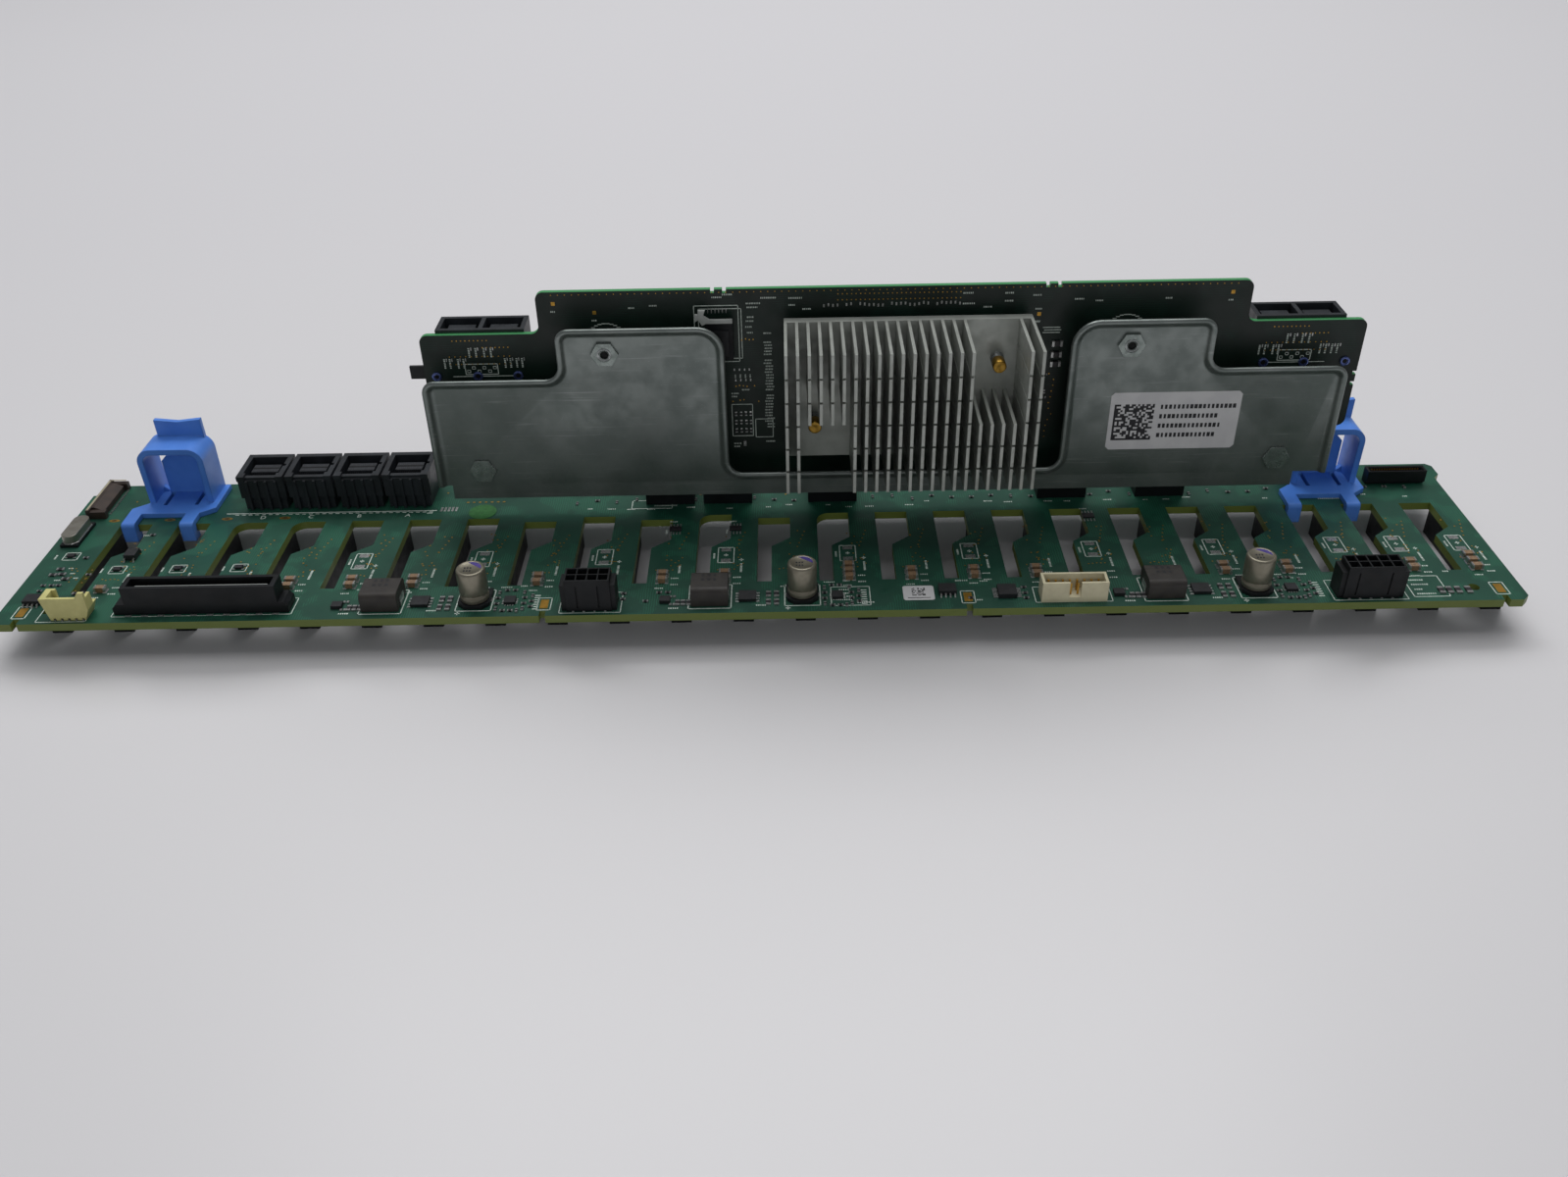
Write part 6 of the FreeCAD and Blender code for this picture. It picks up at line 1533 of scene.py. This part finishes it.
    def beside_sink(self) -> None:
        """Add the print and small parts in the bracket's gaps, left and right of the heatsink."""
        draw = self.random
        for z in np.arange(26.0, 57.5, 0.95):
            if draw.uniform() < 0.8:
                self.write(2.4 + draw.uniform(0, 0.8), z, 5, self.fine_size)
        self.ink += frame_of((-0.6, 23.5), (4.6, 29.6), 0.2) + frame_of((-7.6, 24.0), (-1.4, 34.6), 0.2)
        for x in (-6.4, -4.9, -3.4, -2.0):
            for z in (26.0, 28.8, 31.6):
                self.small_part(x, z, True, 1.4)
            self.tin += [(x, 46.0, 0, 0.4, 0.7, 0.2), (x + 0.3, 42.6, 0, 0.4, 0.7, 0.2)]
            self.write(x + 0.2, 43.4, 3, 0.5, True)
        self.tin.append((-4.0, 21.6, 0, 0.9, 1.6, 0.7))
        for z in (52.7, 49.3, 46.3):
            self.bodies.append((88.0, z, 0, 1.6, 1.6, 1.0))
            self.tin += [(88.0 + side * 1.2, z, 0, 0.8, 1.7, 1.02) for side in (-1, 1)]
        for row, shift in enumerate((2.0, 2.4, 2.0)):
            self.bar(84.0 + shift, 56.0 + row * 0.8, 5.0, 0.25)
        for z in np.arange(22.0, 44.0, 1.9):
            self.small_part(84.0 + draw.uniform(-1.0, 1.8), z, bool(draw.integers(2)), 1.1)
            self.via(87.5 + draw.uniform(-1, 1), z, 0.36)

    def upper_edge(self) -> None:
        """Add the targets, the row of vias along the upper edge and the last rows of print."""
        draw = self.random
        for x, z in ((-57.6, 67.5), (136.9, 67.5), (82.0, 61.8), (-46.0, 64.6)):
            self.gold.append((x, z, 0, 1.1, 1.1, 0.06))
            self.write(x - 0.8, z - 2.4, 3, self.print_size)
        for x in np.arange(-58, 140, 2.0):
            self.via(x, 70.1, 0.3)
        for x, z, count in self.lower_rows:
            self.write(x, z, count, self.fine_size)
        for x in np.arange(-7.2, 1.0, 1.1):
            for z in (40.6, 36.0, 55.4):
                if draw.uniform() < 0.7:
                    self.via(x, z + draw.uniform(-0.5, 0.5), self.spot)

    def rings(self) -> None:
        """Add an arc of ink above each open standoff: short bars along half an ellipse."""
        angle = np.linspace(0, math.pi, 15)
        for x in LAYOUT.open_standoffs:
            for turn in (angle[:-1] + angle[1:]) / 2:
                self.bar(x + math.cos(turn) * 5.2, 57.0 + math.sin(turn) * 4.2, 1.1, 0.25)

    def rear(self) -> None:
        """Make the packages, small parts and print on the rear face.

        X runs the other way there, so each place is written as seen from the front and turned about.
        """
        draw = self.random
        face = BoardFace(draw, cap_height=self.cap_height)
        for z in np.arange(14, 68, 3.1):
            for x in np.arange(-60, 140, 5.4):
                choice = draw.uniform()
                if choice < 0.3:
                    face.write(-x, z, int(draw.integers(3, 6)), self.print_size)
                elif choice < 0.55:
                    face.bodies.append((-x, z, 0, 0.8, 0.7, PART_HEIGHT))
                    face.tin += [(-x + side * 0.6, z, 0, 0.4, 0.7, self.cap_height) for side in (-1, 1)]
                elif choice < 0.7:
                    face.via(-x, z, 0.5)
        plane = Plane((0, node_box("expander_board")[1][1], LAYOUT.deck), Facing.REAR)
        chips = [(-x, z, 0, length, depth, self.rear_package_height)
                 for x, z, length, depth in self.rear_packages]
        Form(plane).crates(chips, SLAB).piece("rear_chips", Look.EPOXY, "chip_epoxy")
        face.make_pieces(plane, "rear", "rear_small_parts")

    def build(self) -> None:
        """Dress the board and make its pieces."""
        dress(Look.UPRIGHT_BOARD, "expander_board")
        dress(Look.BLACK_NYLON, "link_headers", "link_sockets")
        dress(Look.CHARCOAL_NYLON, *self.rear_ports)
        for node in self.rear_ports:
            low, high = node_box(node)
            self.shoulder((low[0] + high[0]) / 2 - LAYOUT.middle)
        self.pegs()
        self.memory_area()
        self.top_rows()
        self.beside_sink()
        self.upper_edge()
        self.rings()
        self.rear()
        self.make_pieces(LAYOUT.upright_face, "upright", "upright_small_parts")


@dataclass
class Heatsink:
    """The finned heatsink and the two sprung brass pins that hold it."""

    pins: Spots = ((69.7, 51.4), (17.0, 33.1))
    segments: int = 28
    plate: float = 3.0               # the flat part that the pins go through
    profile: Profile = ((1.1, 0.0), (1.1, 2.6), (1.9, 2.7), (1.95, 3.1), (1.95, 6.4), (1.75, 6.7), (1.2, 6.8),
                        (0.5, 6.6))

    def spring(self, x: float, z: float, base: float) -> tuple[np.ndarray, list[np.ndarray]]:
        """A coil spring round a pin: a small circle carried along a helix.

        Args:
            x: Middle of the pin.
            z: Middle of the pin.
            base: Height of its lower end.

        Returns:
            Points and faces for Form.add.
        """
        turns, radius, wire, length, steps, corners = 3.5, 1.75, 0.22, 2.6, 110, 6
        t = np.linspace(0, 1, steps)[:, None]
        around = np.arange(corners) * 2 * math.pi / corners
        angle = t * turns * 2 * math.pi
        reach = radius + wire * np.cos(around)
        points = np.stack([x + reach * np.cos(angle), z + reach * np.sin(angle),
                           base + t * length + wire * np.sin(around)], -1)
        number = np.arange(steps * corners).reshape(steps, corners)
        low, high = number[:-1], number[1:]
        walls = np.stack([low, np.roll(low, -1, 1), np.roll(high, -1, 1), high], -1).reshape(-1, 4)
        return points, [walls, number[:1, ::-1], number[-1:]]

    def build(self) -> None:
        """Dress the fins and make the pins."""
        dress(Look.ANODISED, "heatsink")
        face = Plane((LAYOUT.middle, node_box("heatsink")[1][1] - self.plate, LAYOUT.deck), Facing.FRONT)
        Form(face).rounds([(x, z, 0) for x, z in self.pins], self.profile, self.segments).piece(
            "sink_pins", Look.BRASS, "anodised_aluminium", 40)
        springs = Form(face)
        for x, z in self.pins:
            springs.add(*self.spring(x, z, 0.1))
        springs.piece("sink_pin_springs", Look.BRIGHT_ZINC, "plated_steel", 60)


@dataclass
class Bracket:
    """Pressed sheet bracket: a flat panel whose rim is rolled forward all round but at the foot.

    The outline is a loop of points with round corners. The section is a list of (inset, forward) steps
    carried round the loop, once for the front skin and once for the rear, and the lift fades to nothing
    towards the foot, so the rim runs out there.
    """

    sheet: float = 1.0
    rim_end: float = 13.2
    fade: float = 4.5
    notch_left: float = 4.0
    notch_right: float = 9.6
    corner: float = 4.0
    big_corner: float = 8.0
    steps: int = 10
    foot_corner: float = 3.2
    shoulder: float = 48.2           # height of the outer steps
    gap_floor: float = 16.4          # height of the bar under the heatsink
    label_middle: Spot = (122.95, 31.1)
    label_size: Spot = (38.3, 18.7)
    label_rows: tuple[float, ...] = (21.4, 16.6, 17.6, 16.4)
    standoff_height: float = 55.5
    front_section: Profile = ((0.0, 0.75), (0.06, 1.1), (0.25, 1.36), (0.55, 1.5), (0.95, 1.5), (1.3, 1.4),
                              (1.65, 1.12), (1.95, 0.72), (2.25, 0.36), (2.6, 0.12), (3.0, 0.0))
    rear_section: Profile = ((0.0, 0.6), (0.12, 0.5), (0.5, 0.48), (0.9, 0.4), (1.25, 0.1), (1.55, -0.35),
                             (1.9, -0.72), (2.3, -0.94), (2.8, -1.0))

    def outline(self) -> list[Point]:
        """Work out the bracket's corners.

        Returns:
            (x, height, corner radius) of each, anticlockwise seen from the front.
        """
        low, high = node_box("steel_bracket")
        sink_low, sink_high = node_box("heatsink")
        left, right = low[0], high[0]
        foot, tower = low[2] - LAYOUT.deck, high[2] - LAYOUT.deck
        shoulder, bar = self.shoulder, self.gap_floor
        cut_left, cut_right = sink_low[0] - 17.0, sink_high[0] + 10.8
        step_left, step_right = left + 40.2, right - 40.0
        r, big, low_r = self.corner, self.big_corner, self.foot_corner
        return [(left, foot, low_r), (right, foot, low_r), (right, shoulder, r), (step_right, shoulder, r),
                (step_right, tower, r), (cut_right, tower, big), (cut_right, bar, r), (cut_left, bar, r),
                (cut_left, tower, big), (step_left, tower, r), (step_left, shoulder, r), (left, shoulder, r)]

    def loop(self) -> tuple[np.ndarray, np.ndarray]:
        """Points round the outline and their outward directions.

        Each corner is an arc: its middle lies at the radius from both sides, and the points turn about it
        from one side's normal to the other's. A straight side gets extra points, so that the lift can fade.

        Returns:
            Points (n, 2) and unit outward normals (n, 2).
        """
        corners = self.outline()
        points, normals = [], []
        count = len(corners)
        for i, (x, z, radius) in enumerate(corners):
            here = np.array((x, z))
            before = here - np.array(corners[i - 1][:2])
            after = np.array(corners[(i + 1) % count][:2]) - here
            a, b = before / np.linalg.norm(before), after / np.linalg.norm(after)
            turn = a[0] * b[1] - a[1] * b[0]
            n0, n1 = np.array((a[1], -a[0])), np.array((b[1], -b[0]))
            centre = here - a * radius + (-n0 if turn > 0 else n0) * radius
            sweep = math.copysign(math.pi / 2, turn)
            angle = math.atan2(n0[1], n0[0]) + np.linspace(0, 1, self.steps) * sweep
            direction = np.column_stack([np.cos(angle), np.sin(angle)])
            points.append(centre + direction * radius * (1 if turn > 0 else -1))
            normals.append(direction)
            side = after - b * (radius + corners[(i + 1) % count][2])
            extra = np.linspace(0, 1, 14)[1:-1, None]
            points.append(here + b * radius + side * extra)
            normals.append(np.repeat(n1[None], len(extra), 0))
        return np.concatenate(points), np.concatenate(normals)

    def skin(self, section: Profile, flat: float, points: np.ndarray, normals: np.ndarray) -> np.ndarray:
        """One skin's rings: each step's inset along the inward normal, its lift faded towards the foot.

        Args:
            section: (inset, forward) steps from the rim inwards.
            flat: Forward position of the unlifted sheet.
            points: The outline's points.
            normals: Their outward directions.

        Returns:
            Array (steps, points, 3).
        """
        lift = np.clip((points[:, 1] - self.rim_end + self.fade) / self.fade, 0, 1)
        lift = lift * lift * (3 - 2 * lift)
        rings = []
        for inset, forward in section:
            ring = points - normals * inset
            rings.append(np.column_stack([ring, flat + (forward - flat) * lift]))
        return np.array(rings)

    def build(self) -> None:
        """Make the bracket's two skins as one closed sheet, then its label and the standoffs' collars."""
        low, high = node_box("steel_bracket")
        panel = high[1] - self.sheet
        face = Plane((0, panel, LAYOUT.deck), Facing.FRONT)
        points, normals = self.loop()
        front = self.skin(self.front_section, 0.0, points, normals)
        rear = self.skin(self.rear_section, -self.sheet, points, normals)
        sheet = Form(face).stacks(np.concatenate([rear[::-1], front])[None])
        bracket = sheet.piece("rolled_bracket", Look.ZINC, "plated_steel", 50)
        self.notch(bracket, face, low, high)
        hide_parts("steel_bracket")
        dress(Look.HEX_STEEL, "bracket_standoffs")
        self.label(face)
        self.seats(face)

    def notch(self, bracket: bpy.types.Object, face: Plane, low: np.ndarray, high: np.ndarray) -> None:
        """Cut the lower corners away, up to where the rim ends.

        Args:
            bracket: The rolled sheet.
            face: The panel's plane.
            low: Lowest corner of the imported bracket.
            high: Its highest corner.
        """
        past = 1.0                   # how far the cutting blocks reach past the sides
        blocks = Form(face)
        for left, width in ((low[0] - past, self.notch_left), (high[0] - self.notch_right, self.notch_right)):
            blocks.crates([(left + (width + past) / 2, self.rim_end / 2, -4.0, width + past, self.rim_end,
                            8.0)])
        tool = link("notches", blocks.mesh("notches"))
        cut = bracket.modifiers.new("notches", "BOOLEAN")
        cut.operation, cut.object, cut.solver = "DIFFERENCE", tool, "EXACT"
        shaped = bpy.data.meshes.new_from_object(bracket.evaluated_get(bpy.context.evaluated_depsgraph_get()))
        bracket.modifiers.clear()
        bracket.data = shaped
        bpy.data.objects.remove(tool)

    def label(self, face: Plane) -> None:
        """A paper label on the right wing, with a generic block pattern and rows of plain marks.

        Args:
            face: The panel's plane.
        """
        (x, z), (width, height), paper = self.label_middle, self.label_size, 0.1
        Form(face).crates([(x + LAYOUT.middle, z, 0, width, height, paper)], ((0, 0), (0, 0.7), (0.05, 1)),
                          1.0).piece("bracket_label", Look.PAPER, "ceramic")
        random = np.random.default_rng(5)
        blocks = random.random((19, 19)) < 0.56
        blocks[0, :] = blocks[:, 0] = True
        left = x - width / 2 + 1.6 + LAYOUT.middle
        cells = block_pattern(blocks, (left, z - 5.9), 0.62, paper)
        for row, length in enumerate(self.label_rows):
            marks = np.arange(0, length, 1.25)
            widths = random.uniform(0.6, 1.0, len(marks))
            cells += [(left + 13.6 + mark, z + 4.6 - row * 3.1, paper, wide, 1.4, TONER_HEIGHT)
                      for mark, wide in zip(marks, widths)]
        Form(face).crates(cells).piece("bracket_label_pattern", Look.TONER, "black_moulding")

    def seats(self, face: Plane) -> None:
        """Bright chamfered collars in the open standoffs, and painted shade for the hollow inside each.

        A collar is a closed section of (radius, height) carried round the standoff's middle, so it has no
        end faces.

        Args:
            face: The panel's plane.
        """
        centres = [(x + LAYOUT.middle, self.standoff_height) for x in LAYOUT.open_standoffs]
        collar = ((1.28, 0.2), (2.1, 0.2), (2.1, 0.92), (1.7, 1.05), (1.28, 0.75))
        form, turn = Form(face), circle(30)
        for centre in centres:
            ring = np.array([np.column_stack([centre + radius * turn, np.full(len(turn), height)])
                             for radius, height in collar])
            number = np.arange(len(collar) * len(turn)).reshape(-1, len(turn))
            closed = np.concatenate([number, number[:1]])
            low, up = closed[:-1], closed[1:]
            walls = np.stack([low, np.roll(low, -1, 1), np.roll(up, -1, 1), up], -1).reshape(-1, 4)
            form.add(ring, [walls])
        form.piece("standoff_collars", Look.BRIGHT_ZINC, "plated_steel", 40)
        Form(face).rounds([(x, z, 0.2) for x, z in centres], ((1.28, 0.0), (1.28, 0.06)), 20).piece(
            "standoff_bores", Look.HOLLOW_SHADE, "black_moulding")


@dataclass
class Clips:
    """The two blue clips, kept as packed, with their finish."""

    nodes: tuple[str, ...] = ("cable_clip_left", "cable_clip_right")

    def build(self) -> None:
        """Dress both clips."""
        dress(Look.BLUE_NYLON, *self.nodes)


@dataclass
class Receptacles:
    """The drive receptacles under the board and their gold contacts."""

    pitch: float = 1.27

    def build(self) -> None:
        """Dress them and add one row of contacts along each mouth's wall."""
        names = [f"drive_receptacle_{bay:02d}" for bay in range(1, BAYS + 1)]
        dress(Look.BLACK_NYLON, *names)
        contacts = []
        for name in names:
            low, high = node_box(name)
            middle = (low[0] + high[0]) / 2
            places = np.arange(low[1] + 4.4, high[1] - 4.2, self.pitch)
            contacts += [(middle + 1.55, -y, -5.9, 0.3, 0.6, 5.4) for y in places]
        Form(Plane((0, 0, 0), Facing.DOWN)).crates(contacts, SLAB).piece(
            "receptacle_contacts", Look.GOLD, "gilded_pins")


def main() -> None:
    """Build the surroundings and every sub-assembly in order."""
    logging.basicConfig(level=logging.INFO, format="%(name)s %(message)s")
    for part in (Studio(), MainBoard(), Receptacles(), Capacitors(), Inductors(), Chips(), Ceramics(),
                 CablePorts(), FrontHeaders(), RearCorners(), UprightBoard(), Heatsink(), Bracket(), Clips()):
        part.build()
        LOG.info("built %s", type(part).__name__)


if __name__ == "__main__":
    main()
